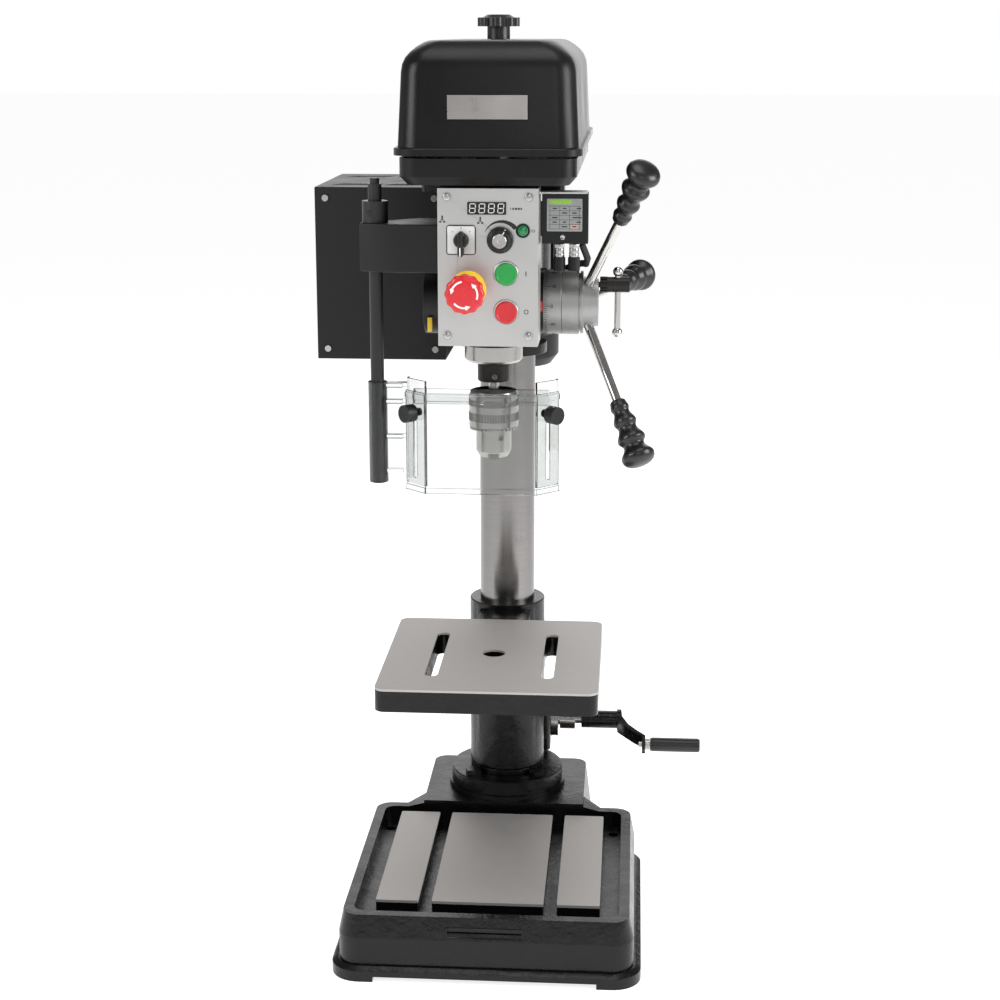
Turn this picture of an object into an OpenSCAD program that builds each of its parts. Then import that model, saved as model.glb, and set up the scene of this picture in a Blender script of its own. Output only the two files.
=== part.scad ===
// Bench drill press with rack-raised table, geared quill feed, belt drive and swinging chuck guard.
// Row frame: millimetres, X right, Y to the back, Z up, origin on the column axis at the bench.

/* [Column and spindle] */
// Column outside diameter
column_d = 65; // [55:1:75]
// Distance from the spindle axis to the column axis
throat = 225; // [200:1:245]
// Height of the column's top end
column_top = 812; // [800:1:818]
// Diameter of the quill
quill_d = 50; // [44:1:54]
// Stroke of the quill
quill_stroke = 75; // [40:1:80]
// Diameter of the spindle shaft
spindle_d = 20; // [16:1:24]

/* [Base] */
// Half width of the base at its rim
base_half_w = 153; // [140:1:165]
// Front edge of the base rim, measured forward from the column axis
base_front = 365; // [340:1:390]
// Height of the rim
rim_z = 71.5; // [65:0.5:80]
// Depth of the gutter below the pads
gutter_depth = 17; // [10:1:22]
// Width of the two grooves between the pads
groove_w = 14.5; // [12:0.5:20]
// Diameter of the base's bench holes
bench_hole_d = 12; // [8:0.5:14]

/* [Table] */
// Half width of the table
table_half_w = 116.5; // [105:0.5:125]
// Depth of the table
table_depth = 250; // [220:1:270]
// Height of the table's face at rest
table_z = 320; // [310:1:330]
// Thickness of the table casting
table_t = 25; // [20:1:30]
// Width of the table's slots
slot_w = 14; // [10:0.5:18]
// Diameter of the table's centre hole
table_hole_d = 25; // [16:1:30]
// Travel of the table up the column
table_travel = 140; // [80:1:140]

/* [Head] */
// Height of the feed shaft
feed_z = 703; // [690:1:715]
// Half width of the head casting
head_half_w = 47; // [44:0.5:49]
// Half width of the control panel
panel_half_w = 50.5; // [50:0.5:60]
// Bottom of the control panel
panel_z0 = 673; // [668:1:680]
// Top of the control panel
panel_z1 = 831.5; // [825:0.5:832]
// Diameter of the guard's rod
rod_d = 14; // [12:0.5:16]
// Outer diameter of the graduated ring
ring_d = 68; // [60:1:72]
// Diameter of the three feed levers
lever_d = 10; // [8:0.5:12]

/* [Hidden] */
$fn = 96;
run = 0.05;
gap = 0.3;
col_r = column_d / 2;

// Spindle line
sy = -throat;
quill_r = quill_d / 2;
bearing_r = spindle_d / 2 + 6;

// Table rack and pinion
rack_m = 2;
rack_teeth = 12;
rack_pr = rack_m * rack_teeth / 2;
rack_w = 14;
rack_y0 = col_r + gap;
rack_pitch_y = col_r + 11.5;
pinion_y = rack_pitch_y + rack_pr;
flange_top = 103;
ring_h = 6.5;
rack_z0 = flange_top + gap + ring_h;
rack_z1 = table_z + table_travel + 162;
crank_z = 142;
barrel_r = col_r + 12.5;
bolt_circle_r = 55;
pad_t = 3;
bench_x = 133;
lock_dir = 135;
bench_y = -100;
barrel_z0 = flange_top + 9;
barrel_z1 = table_z - 1;
rack_add = 1.3;
rack_ded = 2.4;
crank_x0 = 90;
crank_x1 = 135;
crank_dy = -44;
crank_dz = -15;
grip_x0 = 176;

// Quill rack and pinion
feed_m = 1.5;
feed_teeth = 16;
feed_pr = feed_m * feed_teeth / 2;
quill_pitch_y = sy + quill_r - 2;
feed_y = quill_pitch_y + feed_pr;
feed_add = 1.2;
feed_ded = 1.9;

// Table outline
table_y1 = sy + 123.5;
table_y0 = table_y1 - table_depth;
slot_x = 61.5;
slot_y0 = sy - 81;
slot_y1 = sy + 70;

// Spindle stack heights
nose_z = 645;
quill_z1 = 812;
arbor_z = 624;
chuck_top = 613.4;
chuck_nose = 542.8;

// Head and covers
tray_z0 = 834.5;
head_top = tray_z0;
tray_z1 = 861;
hood_z0 = 863.6;
hood_half_w = 94;
hood_y0 = sy - 100;
hood_y1 = 150;
hood_top = 974.6;
post_y = sy + 75;
knob_z0 = hood_top + gap;
motor_y = 108;
motor_r = 55.5;
pulley_z = 872;
spindle_pr = 52;
motor_pr = 22;
badge_z = 899.3;
badge_h = 23.1;
post_top = 945;
panel_y = sy - 81;
panel_back = sy - 31;

// Readout beside the panel
readout_x = panel_half_w + 1.5;
readout_y = panel_y + 44;

// Mains gland under the control box
gland_x = -140;
gland_y = 30;
gland_bore = 4.5;

// Guard
rod_x = -119;
rod_y = sy - 37;
guard_y = sy - 62;
guard_z0 = 514;
guard_z1 = 620;
// Front corners of the shield, how far its wings go out and back, and the knobs' place on them
shield_left = -67.3;
shield_right = 48.9;
shield_wing = 22.5;
knob_in = 11.5;

module rrect(x0, x1, y0, y1, r) {
  translate([x0 + r, y0]) square([x1 - x0 - 2 * r, y1 - y0]);
  translate([x0, y0 + r]) square([x1 - x0, y1 - y0 - 2 * r]);
  for (x = [x0 + r, x1 - r], y = [y0 + r, y1 - r]) translate([x, y]) circle(r);
}

module rbox(x0, x1, y0, y1, z0, z1, r) {
  translate([0, 0, z0]) linear_extrude(z1 - z0) rrect(x0, x1, y0, y1, r);
}

module box(x0, x1, y0, y1, z0, z1) {
  translate([x0, y0, z0]) cube([x1 - x0, y1 - y0, z1 - z0]);
}

module xcyl(x0, x1, r, y, z) {
  translate([x0, y, z]) rotate([0, 90, 0]) cylinder(r = r, h = x1 - x0);
}

module ycyl(y0, y1, r, x, z) {
  translate([x, y1, z]) rotate([90, 0, 0]) cylinder(r = r, h = y1 - y0);
}

module zcyl(z0, z1, r, x, y) {
  translate([x, y, z0]) cylinder(r = r, h = z1 - z0);
}

module zcone(z0, z1, r0, r1, x, y) {
  translate([x, y, z0]) cylinder(r1 = r0, r2 = r1, h = z1 - z0, $fn = 48);
}

// Involute helpers, angles in degrees
function inv_deg(a) = tan(a) * 180 / PI - a;
function half_ang(r, pr, teeth, slack) =
  90 / teeth - slack * 90 / (PI * pr) + inv_deg(20)
  - (r > pr * cos(20) ? inv_deg(acos(pr * cos(20) / r)) : 0);
function tooth_side(pr, teeth, r0, r1, slack, s) =
  [for (k = [0:4]) let (q = s > 0 ? 4 - k : k, r = r0 + (r1 - r0) * q / 4) [r, -s * half_ang(r, pr, teeth, slack)]];
function gear_points(pr, teeth, add, ded, slack) =
  [for (i = [0:teeth - 1]) for (p = concat(
    tooth_side(pr, teeth, pr - ded, pr + add, slack, -1),
    tooth_side(pr, teeth, pr - ded, pr + add, slack, 1)))
    let (a = i * 360 / teeth + (-1) * p[1]) [p[0] * cos(a), p[0] * sin(a)]];

// Gear about X, a tooth pointing at angle "turn" from +Y towards +Z
module x_gear(x0, x1, y, z, pr, teeth, add, ded, slack, turn) {
  translate([x0, y, z])
    rotate([90, 0, 90])
      linear_extrude(x1 - x0)
        rotate(turn)
          polygon(gear_points(pr, teeth, add, ded, slack));
}

// Rack outline in Y and Z, teeth towards +Y
function rack_points(y_back, y_pitch, z0, count, m, add, ded, slack) =
  concat(
    [[y_back, z0]],
    [for (i = [0:count - 1]) for (p = [
      [y_pitch - ded, -0.25 * PI * m - ded * tan(20) + slack / 2],
      [y_pitch + add, -0.25 * PI * m + add * tan(20) + slack / 2],
      [y_pitch + add, 0.25 * PI * m - add * tan(20) - slack / 2],
      [y_pitch - ded, 0.25 * PI * m + ded * tan(20) - slack / 2]])
      [p[0], z0 + (i + 0.5) * PI * m + p[1]]],
    [[y_back, z0 + count * PI * m]]);

// ---------- base ----------
module slab(grow, z, t) {
  rbox(-base_half_w - grow, base_half_w + grow, -base_front - grow, -60 + grow, z, z + t, 18 + grow);
}

module rear_slab(grow, z, t) {
  rbox(-96 - grow, 96 + grow, -110, 78 + grow, z, z + t, 16 + grow);
}

module base_casting() {
  color("#1b1b1d")
    difference() {
      union() {
        hull() {
          slab(0, rim_z - 1, 1);
          slab(5, 46, 1);
        }
        slab(5, 16, 30);
        hull() {
          slab(8, 15, 1);
          slab(13, 6, 6);
        }
        slab(13, 0, 12);
        hull() {
          rear_slab(0, 79, 1);
          rear_slab(8, 16, 1);
        }
        rear_slab(14, 0, 14);
        hull() {
          rbox(-98, 98, -90, -34, 40, 76, 8);
          rbox(-136, 136, -90, -72, 20, 66, 8);
        }
        zcyl(70, 86, 71, 0, 0);
      }
      difference() {
        rbox(-base_half_w + 11, base_half_w - 11, -base_front + 11, -71, rim_z - gutter_depth, 90, 12);
        pads(rim_z - gutter_depth - 1, 91, 0);
      }
      pads(rim_z - pad_t, 91, 0);
      rbox(-base_half_w + 5, base_half_w - 5, -base_front + 5, -84, -1, 40, 14);
      difference() {
        rbox(-84, 84, -54, 66, -1, 62, 14);
        zcyl(-2, 70, 52, 0, 0);
        box(-100, 100, -5, 5, 8, 70);
      }
      box(-base_half_w + 34, base_half_w - 34, -base_front - 20, -base_front + 8, -1, 6);
      for (x = [-bench_x, bench_x]) zcyl(30, 70, bench_hole_d / 2, x, bench_y);
      box(-40, 40, -base_front - 3.4, -base_front - 1.4, 50, 60);
      for (a = [45:90:315]) rotate(a) zcyl(64, 90, 5, bolt_circle_r, 0);
    }
}

module pads(z0, z1, inset) {
  outer = 121;
  inner = 60.3;
  y0 = -base_front + 37.5;
  y1 = -86;
  rbox(-inner + inset, inner - inset, y0 + inset, y1 - inset, z0, z1, 2);
  for (s = [-1, 1]) {
    a = s * (inner + groove_w);
    b = s * outer;
    rbox(min(a, b) + inset, max(a, b) - inset, y0 + inset, y1 - inset, z0, z1, 2);
  }
}

module base_pads() {
  color("#b9b6b2") pads(rim_z - pad_t, rim_z, 0);
}

module hex_bolt(x, y, z, r, af, h) {
  zcyl(z - 30, z + 0.5, r, x, y);
  translate([x, y, z]) cylinder(r = af / 2 / cos(30), h = h, $fn = 6);
}

module column_flange() {
  color("#161617") {
    difference() {
      union() {
        zcyl(86, flange_top - 1, 68, 0, 0);
        zcyl(flange_top - 1, flange_top, 67, 0, 0);
      }
      zcyl(80, 110, col_r, 0, 0);
      for (a = [45:90:315]) rotate(a) zcyl(80, 110, 4, bolt_circle_r, 0);
    }
    for (a = [45:90:315]) rotate(a) hex_bolt(bolt_circle_r, 0, flange_top, 5, 17, 6.4);
  }
}

module column() {
  color("#9a9a98")
    difference() {
      zcyl(86, column_top, col_r, 0, 0);
      zcyl(92, column_top + 1, col_r - 6, 0, 0);
    }
}

// ---------- table support ----------
module rack() {
  count = floor((rack_z1 - rack_z0) / (PI * rack_m));
  color("#6f7072")
    translate([-rack_w / 2, 0, 0])
      rotate([90, 0, 90])
        linear_extrude(rack_w)
          polygon(rack_points(rack_y0, rack_pitch_y, rack_z0, count, rack_m, rack_add, rack_ded, 0.1));
}

module rack_rings() {
  count = floor((rack_z1 - rack_z0) / (PI * rack_m));
  top = rack_z0 + count * PI * rack_m;
  color("#222224") {
    difference() {
      zcyl(flange_top + gap, rack_z0, barrel_r - 0.5, 0, 0);
      zcyl(90, 120, col_r + run, 0, 0);
    }
    difference() {
      zcyl(top, top + 12, barrel_r + 1, 0, 0);
      zcyl(600, 660, col_r + run, 0, 0);
    }
  }
}

module table_bracket() {
  color("#19191b")
    difference() {
      union() {
        zcyl(barrel_z0, barrel_z1 - 1, barrel_r, 0, 0);
        zcyl(barrel_z1 - 1, barrel_z1, barrel_r - 1, 0, 0);
        rbox(-16, 16, 20, rack_pitch_y + 9, barrel_z0, barrel_z1 - 4, 6);
        rbox(-26, 52, 20, pinion_y + 20, barrel_z0 + 1, crank_z + 22, 6);
        box(-34, 34, table_y1 - 60, -20, barrel_z1 - 62, table_z - table_t);
        box(-30, 30, table_y1, -20, barrel_z1 - 62, barrel_z1 - 7);
        box(-34, 34, -table_depth / 2 - 60, table_y1 - 50, barrel_z1 - 44, table_z - table_t);
        box(-60, 60, sy - 55, sy + 62, table_z - table_t - 14, table_z - table_t);
        translate([0, 0, 250]) rotate([0, 0, lock_dir]) xcyl(20, barrel_r + 9, 14, 0, 0);
      }
      zcyl(barrel_z0 - 1, barrel_z1 + 1, col_r + run, 0, 0);
      box(-rack_w / 2 - gap, rack_w / 2 + gap, 0, rack_pitch_y + rack_add + 0.8, barrel_z0 - 1, barrel_z1 + 1);
      xcyl(-rack_w / 2 - 1.5, rack_w / 2 + 1.5, rack_pr + 2.8, pinion_y, crank_z);
      xcyl(-30, 60, 6 + run, pinion_y, crank_z);
      zcyl(200, 400, table_hole_d / 2 + 5, 0, sy);
      for (s = [-1, 1]) {
        box(s * slot_x - slot_w / 2 - 3, s * slot_x + slot_w / 2 + 3, slot_y0 - 4, slot_y1 + 4, 200, 400);
      }
      translate([0, 0, 250]) rotate([0, 0, lock_dir]) xcyl(20, 80, 5 + run, 0, 0);
    }
}

module slots(z0, z1, extra) {
  for (s = [-1, 1]) {
    rbox(s * slot_x - slot_w / 2 - extra, s * slot_x + slot_w / 2 + extra, slot_y0 - extra, slot_y1 + extra,
      z0, z1, slot_w / 2 + extra - 0.05);
  }
}

module table_casting() {
  color("#19191b")
    difference() {
      rbox(-table_half_w, table_half_w, table_y0, table_y1, table_z - table_t, table_z - 2.5, 11);
      zcyl(200, 400, table_hole_d / 2, 0, sy);
      slots(200, 400, 0);
    }
}

module table_face() {
  color("#bdbab7")
    difference() {
      rbox(-table_half_w, table_half_w, table_y0, table_y1, table_z - 2.5, table_z, 11);
      zcyl(200, 400, table_hole_d / 2, 0, sy);
      slots(200, 400, 0);
    }
}

module table_lock() {
  color("#2a2a2c")
    translate([0, 0, 250])
      rotate([0, 0, lock_dir]) {
        xcyl(col_r + gap, barrel_r + 10, 5, 0, 0);
        xcyl(barrel_r + 9.4, barrel_r + 26, 10, 0, 0);
        translate([barrel_r + 18, 0, 0]) rotate([155, 0, 0]) cylinder(r = 4.5, h = 62);
        translate([barrel_r + 18, 0, 0]) rotate([155, 0, 0]) translate([0, 0, 66]) sphere(r = 9);
      }
}

module crank_shaft() {
  color("#a9a9aa") {
    xcyl(-32, crank_x0 + 20, 6, pinion_y, crank_z);
    x_gear(-rack_w / 2, rack_w / 2, pinion_y, crank_z, rack_pr, rack_teeth, 1.9, 2.5, 0.1, pinion_turn());
    xcyl(-32, -26.4, 9, pinion_y, crank_z);
    xcyl(52.4, 61, 22, pinion_y, crank_z);
    xcyl(63, 82, 13, pinion_y, crank_z);
    xcyl(60, 64, 8, pinion_y, crank_z);
    xcyl(grip_x0 - 14, grip_x0 + 48, 4, pinion_y + crank_dy, crank_z + crank_dz);
    xcyl(grip_x0 - 5.8, grip_x0 - 0.4, 7, pinion_y + crank_dy, crank_z + crank_dz);
  }
}

// Turns the pinion so that a tooth gap faces the rack tooth nearest the shaft
function pinion_turn() =
  let (zr = (crank_z - rack_z0) / (PI * rack_m) - 0.5, off = (round(zr) - zr) * PI * rack_m)
  180 - off / rack_pr * 180 / PI + 180 / rack_teeth;

module crank_arm() {
  gy = pinion_y + crank_dy;
  gz = crank_z + crank_dz;
  ang = atan2(crank_dz, crank_dy);
  len = sqrt(crank_dy * crank_dy + crank_dz * crank_dz);
  color("#161618")
    difference() {
      union() {
        xcyl(crank_x0, crank_x1, 11, pinion_y, crank_z);
        xcyl(crank_x1 - 0.5, crank_x1 + 5, 13, pinion_y, crank_z);
        xcyl(grip_x0 - 10, grip_x0 - 6, 9, gy, gz);
        translate([0, pinion_y, crank_z]) rotate([ang, 0, 0]) crank_bend(len);
      }
      xcyl(crank_x0 - 1, crank_x0 + 20, 6, pinion_y, crank_z);
      xcyl(grip_x0 - 20, grip_x0, 4, gy, gz);
    }
}

// S-bent flat arm in its own X and Y, 18 wide
module crank_bend(len) {
  x0 = crank_x1;
  x1 = grip_x0 - 10;
  rise = x1 - x0;
  translate([0, 0, -9])
    linear_extrude(18)
      polygon([
        [x0, -8], [x0 + 5, -8], [x0 + 6, 4], [x0 + rise * 0.45, len * 0.42], [x0 + rise * 0.85, len * 0.7],
        [x1 + 4, len * 0.86], [x1 + 4, len + 7], [x1, len + 7], [x1, len * 0.9],
        [x0 + rise * 0.7, len * 0.76], [x0 + rise * 0.3, len * 0.5], [x0, 14]
      ]);
}

module crank_grip() {
  gy = pinion_y + crank_dy;
  gz = crank_z + crank_dz;
  color("#1d1d1f") {
    difference() {
      union() {
        xcyl(grip_x0, grip_x0 + 2, 8, gy, gz);
        xcyl(grip_x0 + 2, grip_x0 + 59, 8.6, gy, gz);
        xcyl(grip_x0 + 59, grip_x0 + 61, 7.8, gy, gz);
      }
      xcyl(grip_x0 - 9, grip_x0 + 49, 4 + run, gy, gz);
    }
  }
}

// ---------- head ----------
module head_casting() {
  color("#1d1d1f")
    difference() {
      union() {
        rbox(-head_half_w, head_half_w, panel_back, feed_y + 42, 672, 822, 8);
        rbox(-42, 42, feed_y + 20, 46, 650, 822, 16);
        zcyl(640, 822, col_r + 17, 0, 0);
        zcyl(664, 673, 37, 0, sy);
        rbox(-74, 74, readout_y + 22 + gap, 42, 822, head_top, 10);
        rbox(-head_half_w, head_half_w, panel_back + 4, sy + 20, 820, head_top, 10);
        rbox(-62, 62, 30, motor_y + 58, 812, head_top, 10);
        box(-64, -30, -70, -10, 690, 800);
      }
      zcyl(630, column_top, col_r, 0, 0);
      zcyl(640, 840, quill_r + run, 0, sy);
      translate([0, feed_y, feed_z]) rotate([0, 90, 0]) cylinder(r = 9 + run, h = 200, center = true);
      xcyl(-11, 11, feed_pr + 2.5, feed_y, feed_z);
      xcyl(-80, -26, 21, feed_y, feed_z);
      rbox(-30, 30, feed_y + 34, -col_r - 26, 640, 812, 8);
      zcyl(800, 840, 5, 0, post_y);
      zcyl(800, 840, 12, 0, motor_y);
      for (z = [670, 770]) xcyl(20, 80, 5, 20, z);
    }
}

module quill_nose() {
  color("#a6a4a2")
    difference() {
      union() {
        zcyl(nose_z + 3, 664, 30.5, 0, sy);
        zcone(nose_z, nose_z + 3, 27.5, 30.5, 0, sy);
      }
      zcyl(640, 700, quill_r + run, 0, sy);
    }
}

module head_screws() {
  color("#8c8c8e") {
    for (z = [670, 770]) {
      xcyl(col_r * 0.9, 50, 5, 20, z);
      translate([49.5, 20, z]) rotate([0, 90, 0]) cylinder(r = 17 / 2 / cos(30), h = 7, $fn = 6);
    }
    zcyl(812, post_top, 5, 0, post_y);
    zcyl(head_top, head_top + 10, 9, 0, post_y);
  }
}

module motor() {
  color("#19191b")
    difference() {
      union() {
        zcyl(600, 812, motor_r, 0, motor_y);
        zcone(588, 600, motor_r - 9, motor_r, 0, motor_y);
        for (a = [0:15:345]) translate([0, motor_y, 0]) rotate(a) box(motor_r - 1, motor_r + 2.4, -1.6, 1.6, 640, 790);
      }
      for (a = [0:30:330]) translate([0, motor_y, 0]) rotate(a) rbox(20, 42, -2, 2, 580, 594, 1.9);
      zcyl(790, 820, 12, 0, motor_y);
    }
}

module pulley(x, y, r, bore) {
  translate([x, y, pulley_z])
    difference() {
      union() {
        cylinder(r = r + 4, h = 3);
        translate([0, 0, 3]) cylinder(r1 = r + 4, r2 = r - 3, h = 7, $fn = 64);
        translate([0, 0, 10]) cylinder(r1 = r - 3, r2 = r + 4, h = 7, $fn = 64);
        translate([0, 0, 17]) cylinder(r = r + 4, h = 3);
        cylinder(r = bore + 8, h = 34);
      }
      translate([0, 0, -1]) cylinder(r = bore, h = 40);
    }
}

module motor_pulley() {
  color("#8d8f92") {
    pulley(0, motor_y, motor_pr, 7);
    zcyl(793, pulley_z + 38, 7, 0, motor_y);
  }
}

module spindle_pulley() {
  color("#8d8f92")
    difference() {
      union() {
        pulley(0, sy, spindle_pr, spindle_d / 2 + run);
        zcyl(832, pulley_z + 1, spindle_d / 2 + 8, 0, sy);
        zcyl(quill_z1 + 3, 834, quill_r, 0, sy);
      }
      zcyl(800, 960, spindle_d / 2 + run, 0, sy);
    }
}

module belt() {
  color("#141416")
    translate([0, 0, pulley_z + 7.5])
      linear_extrude(5)
        difference() {
          belt_outline(6);
          belt_outline(1.4);
        }
}

// Tangent outline round both pulleys, grown from the groove bottoms
module belt_outline(grow) {
  r1 = spindle_pr - 1.5 + grow;
  r2 = motor_pr - 1.5 + grow;
  d = motor_y - sy;
  a = asin((r1 - r2) / d);
  translate([0, sy]) circle(r1);
  translate([0, motor_y]) circle(r2);
  polygon([
    [-r1 * cos(a), sy + r1 * sin(a)], [r1 * cos(a), sy + r1 * sin(a)],
    [r2 * cos(a), motor_y + r2 * sin(a)], [-r2 * cos(a), motor_y + r2 * sin(a)]
  ]);
}

module cover_slab(inset, z, t, r) {
  rbox(-hood_half_w + inset, hood_half_w - inset, hood_y0 + inset, hood_y1 - inset, z, z + t, r);
}

module hood_tray() {
  color("#1c1c1e")
    difference() {
      union() {
        hull() {
          cover_slab(13, tray_z0, 0.5, 16);
          cover_slab(5.4, 843, 0.5, 20);
        }
        cover_slab(5.4, 843, tray_z1 - 843, 20);
      }
      cover_slab(9, 840, 40, 17);
      rbox(-40, 40, sy - 34, sy + 34, 830, 850, 6);
      zcyl(830, 850, 31, 0, motor_y);
      zcyl(830, 850, 10, 0, post_y);
    }
}

module hood() {
  color("#1a1a1c") {
    difference() {
      union() {
        cover_slab(0, hood_z0, 7.2, 24);
        hull() {
          cover_slab(3.5, 870, 0.5, 22);
          cover_slab(7, 952, 0.5, 20);
        }
        hull() {
          cover_slab(7, 952, 0.5, 20);
          rbox(-69, 69, hood_y0 + 28, hood_y1 - 26, hood_top - 1, hood_top, 16);
        }
      }
      hull() {
        cover_slab(3.2, hood_z0 - 1, 0.5, 22);
        cover_slab(10, 948, 0.5, 18);
      }
      hull() {
        cover_slab(10, 948, 0.5, 18);
        rbox(-67, 67, hood_y0 + 32, hood_y1 - 30, 970.4, 970.9, 14);
      }
      zcyl(940, 990, 8 + gap, 0, post_y);
    }
    difference() {
      union() {
        cover_slab(6, tray_z1 + gap, 4.7, 20);
        cover_slab(2, hood_z0 + 0.2, 2.4, 22);
      }
      cover_slab(10, 850, 30, 18);
    }
  }
}

module hood_badge() {
  color("#c3c1be")
    translate([0, hood_y0 + 3.5, 870.5])
      rotate([-atan(3.5 / 82), 0, 0])
        box(-38.5, 40, -1.6, 0, badge_z - 870.5, badge_z + badge_h - 870.5);
}

module star_knob() {
  color("#171719")
    difference() {
      union() {
        zcyl(knob_z0, 990, 12, 0, post_y);
        zcyl(988, 997, 18, 0, post_y);
        for (a = [0:45:315]) translate([0, post_y, 0]) rotate(a) zcyl(988, 997, 5.2, 17, 0);
        zcone(997, 1000, 17, 12, 0, post_y);
        zcyl(post_top - 20, knob_z0 + 1, 8, 0, post_y);
      }
      zcyl(post_top - 30, post_top + 2, 5 + run, 0, post_y);
    }
}

module panel_box() {
  color("#c6c5c2")
    difference() {
      union() {
        box(-panel_half_w, panel_half_w, panel_y, panel_back, panel_z0, panel_z1);
        box(panel_half_w - 1, readout_x + 46.5, panel_y + 31, panel_back + 3.7, 824, 826);
      }
      box(-panel_half_w + 1.5, panel_half_w - 1.5, panel_y + 1.5, panel_back + 1, panel_z0 + 1.5, panel_z1 - 1.5);
      ycyl(panel_y - 1, panel_y + 3, 4 + run, -26.5, 780);
      ycyl(panel_y - 1, panel_y + 3, 3.4 + run, 12.5, 780.5);
      ycyl(panel_y - 1, panel_y + 3, 11, 18.3, 746.6);
      ycyl(panel_y - 1, panel_y + 3, 11, 18.4, 708);
      ycyl(panel_y - 1, panel_y + 3, 10.2, -20, 731);
    }
}

module y_ring(y0, y1, r, ri, x, z) {
  difference() {
    ycyl(y0, y1, r, x, z);
    ycyl(y0 - 1, y1 + 1, ri, x, z);
  }
}

module panel_trim() {
  color("#b2b2b2") {
    for (x = [-41, 41], z = [684, 823]) ycyl(panel_y - 2.4, panel_y, 3.6, x, z);
    difference() {
      rbox_y(-41.5, -12, 765.5, 795, panel_y - 1.2, panel_y, 2.5);
      ycyl(panel_y - 3, panel_y + 3, 4 + run, -26.5, 780);
    }
    y_ring(panel_y - 2.6, panel_y, 14, 11, 18.3, 746.6);
    y_ring(panel_y - 2.6, panel_y, 14, 11, 18.4, 708);
    y_ring(panel_y - 1.5, panel_y, 7.4, 6, 35.2, 789.8);
    ycyl(panel_y - 4, panel_y, 6, 35.2, 789.8);
  }
}

module rbox_y(x0, x1, z0, z1, y0, y1, r) {
  translate([0, y1, 0]) rotate([90, 0, 0]) linear_extrude(y1 - y0) rrect(x0, x1, z0, z1, r);
}

module display() {
  color("#101012") rbox_y(-20.4, 18.4, 805.6, 818, panel_y - 1, panel_y, 1);
}

module selector_knob() {
  color("#161618") {
    ycyl(panel_y - 6, panel_y + 6, 4, -26.5, 780);
    ycyl(panel_y - 10, panel_y - 1.5, 9, -26.5, 780);
    box(-29.5, -23.5, panel_y - 19, panel_y - 8, 768, 792);
  }
}

module speed_knob() {
  color("#1a1a1c") {
    ycyl(panel_y - 14, panel_y - gap, 11.5, 12.5, 780.5);
    ycyl(panel_y - 6, panel_y - gap, 13, 12.5, 780.5);
    ycyl(panel_y - 1, panel_y + 8, 3.4, 12.5, 780.5);
  }
}

module start_button() {
  color("#1f9a3c") {
    ycyl(panel_y - 5, panel_y + 6, 10.7, 18.3, 746.6);
  }
}

module stop_button() {
  color("#d2232a") {
    ycyl(panel_y - 5, panel_y + 6, 10.7, 18.4, 708);
  }
}

module estop_base() {
  color("#f2b705")
    difference() {
      union() {
        ycyl(panel_y - 10, panel_y, 17.5, -20, 731);
        ycyl(panel_y - 1, panel_y + 12, 10, -20, 731);
      }
      ycyl(panel_y - 12, panel_y + 20, 7.4, -20, 731);
    }
}

module estop_stem() {
  color("#2a2a2c") {
    ycyl(-337, panel_y + 8, 7, -20, 731);
    ycyl(panel_y + 6, panel_y + 8, 7, -20, 731);
  }
}

module estop_head() {
  color("#cf2730")
    difference() {
      union() {
        ycyl(-351, -330, 20, -20, 731);
      }
      ycyl(-337.3, -320, 7 + gap, -20, 731);
    }
}

// ---------- left side ----------
module control_box() {
  color("#202022") {
    difference() {
      box(-210, -64, -90, 115, 622, 815);
      box(-208, -66, -88, 113, 624, 813);
      zcyl(600, 640, gland_bore, gland_x, gland_y);
      for (k = [0:1], j = [0:7]) translate([-196 + k * 60 + j * 6, -60, 0]) rotate(-28) box(0, 3, 0, 26, 810, 820);
      for (k = [0:1], j = [0:7]) translate([-196 + k * 60 + j * 6, 60, 0]) rotate(-28) box(0, 3, 0, 26, 810, 820);
    }
  }
}

module control_box_fittings() {
  color("#b5b5b7") {
    for (x = [-76, -198], z = [634, 803]) ycyl(-92.4, -90, 3.6, x, z);
    difference() {
      zcyl(604, 622, 11, gland_x, gland_y);
      zcyl(600, 630, gland_bore, gland_x, gland_y);
    }
  }
}

module spring_housing() {
  color("#19191b")
    difference() {
      union() {
        xcyl(-75, -head_half_w, 34.5, feed_y, feed_z);
      }
      xcyl(-70, -head_half_w + 1, 31, feed_y, feed_z);
      xcyl(-80, -60, 9 + gap, feed_y, feed_z);
    }
}

module guard_bracket() {
  color("#1b1b1d")
    difference() {
      translate([0, 0, 744])
        linear_extrude(49)
          polygon([[-134, rod_y + 16], [-134, rod_y - 10], [-115, rod_y - 19], [-88, rod_y - 22],
            [-panel_half_w - 1, rod_y - 22], [-panel_half_w - 1, rod_y + 12], [-head_half_w, rod_y + 12],
            [-head_half_w, rod_y + 48], [-80, rod_y + 48], [-108, rod_y + 22]]);
      zcyl(700, 800, rod_d / 2 + run, rod_x, rod_y);
    }
}

module guard_rod() {
  color("#3b3a39") {
    zcyl(520, 832, rod_d / 2, rod_x, rod_y);
    zcyl(831, 838, rod_d / 2 - 2.2, rod_x, rod_y);
    difference() {
      zcyl(793 + gap, 815, 13.2, rod_x, rod_y);
      ycyl(rod_y - 20, rod_y - 6, 3, rod_x - 4, 803);
    }
    ycyl(rod_y - 12.6, rod_y - 6, 2.8, rod_x - 4, 803);
  }
}

// Outer faces of the moulding's two side flanges
flange_left = shield_left - shield_wing + 1.4;
flange_right = shield_right + shield_wing - 1.4;

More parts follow.
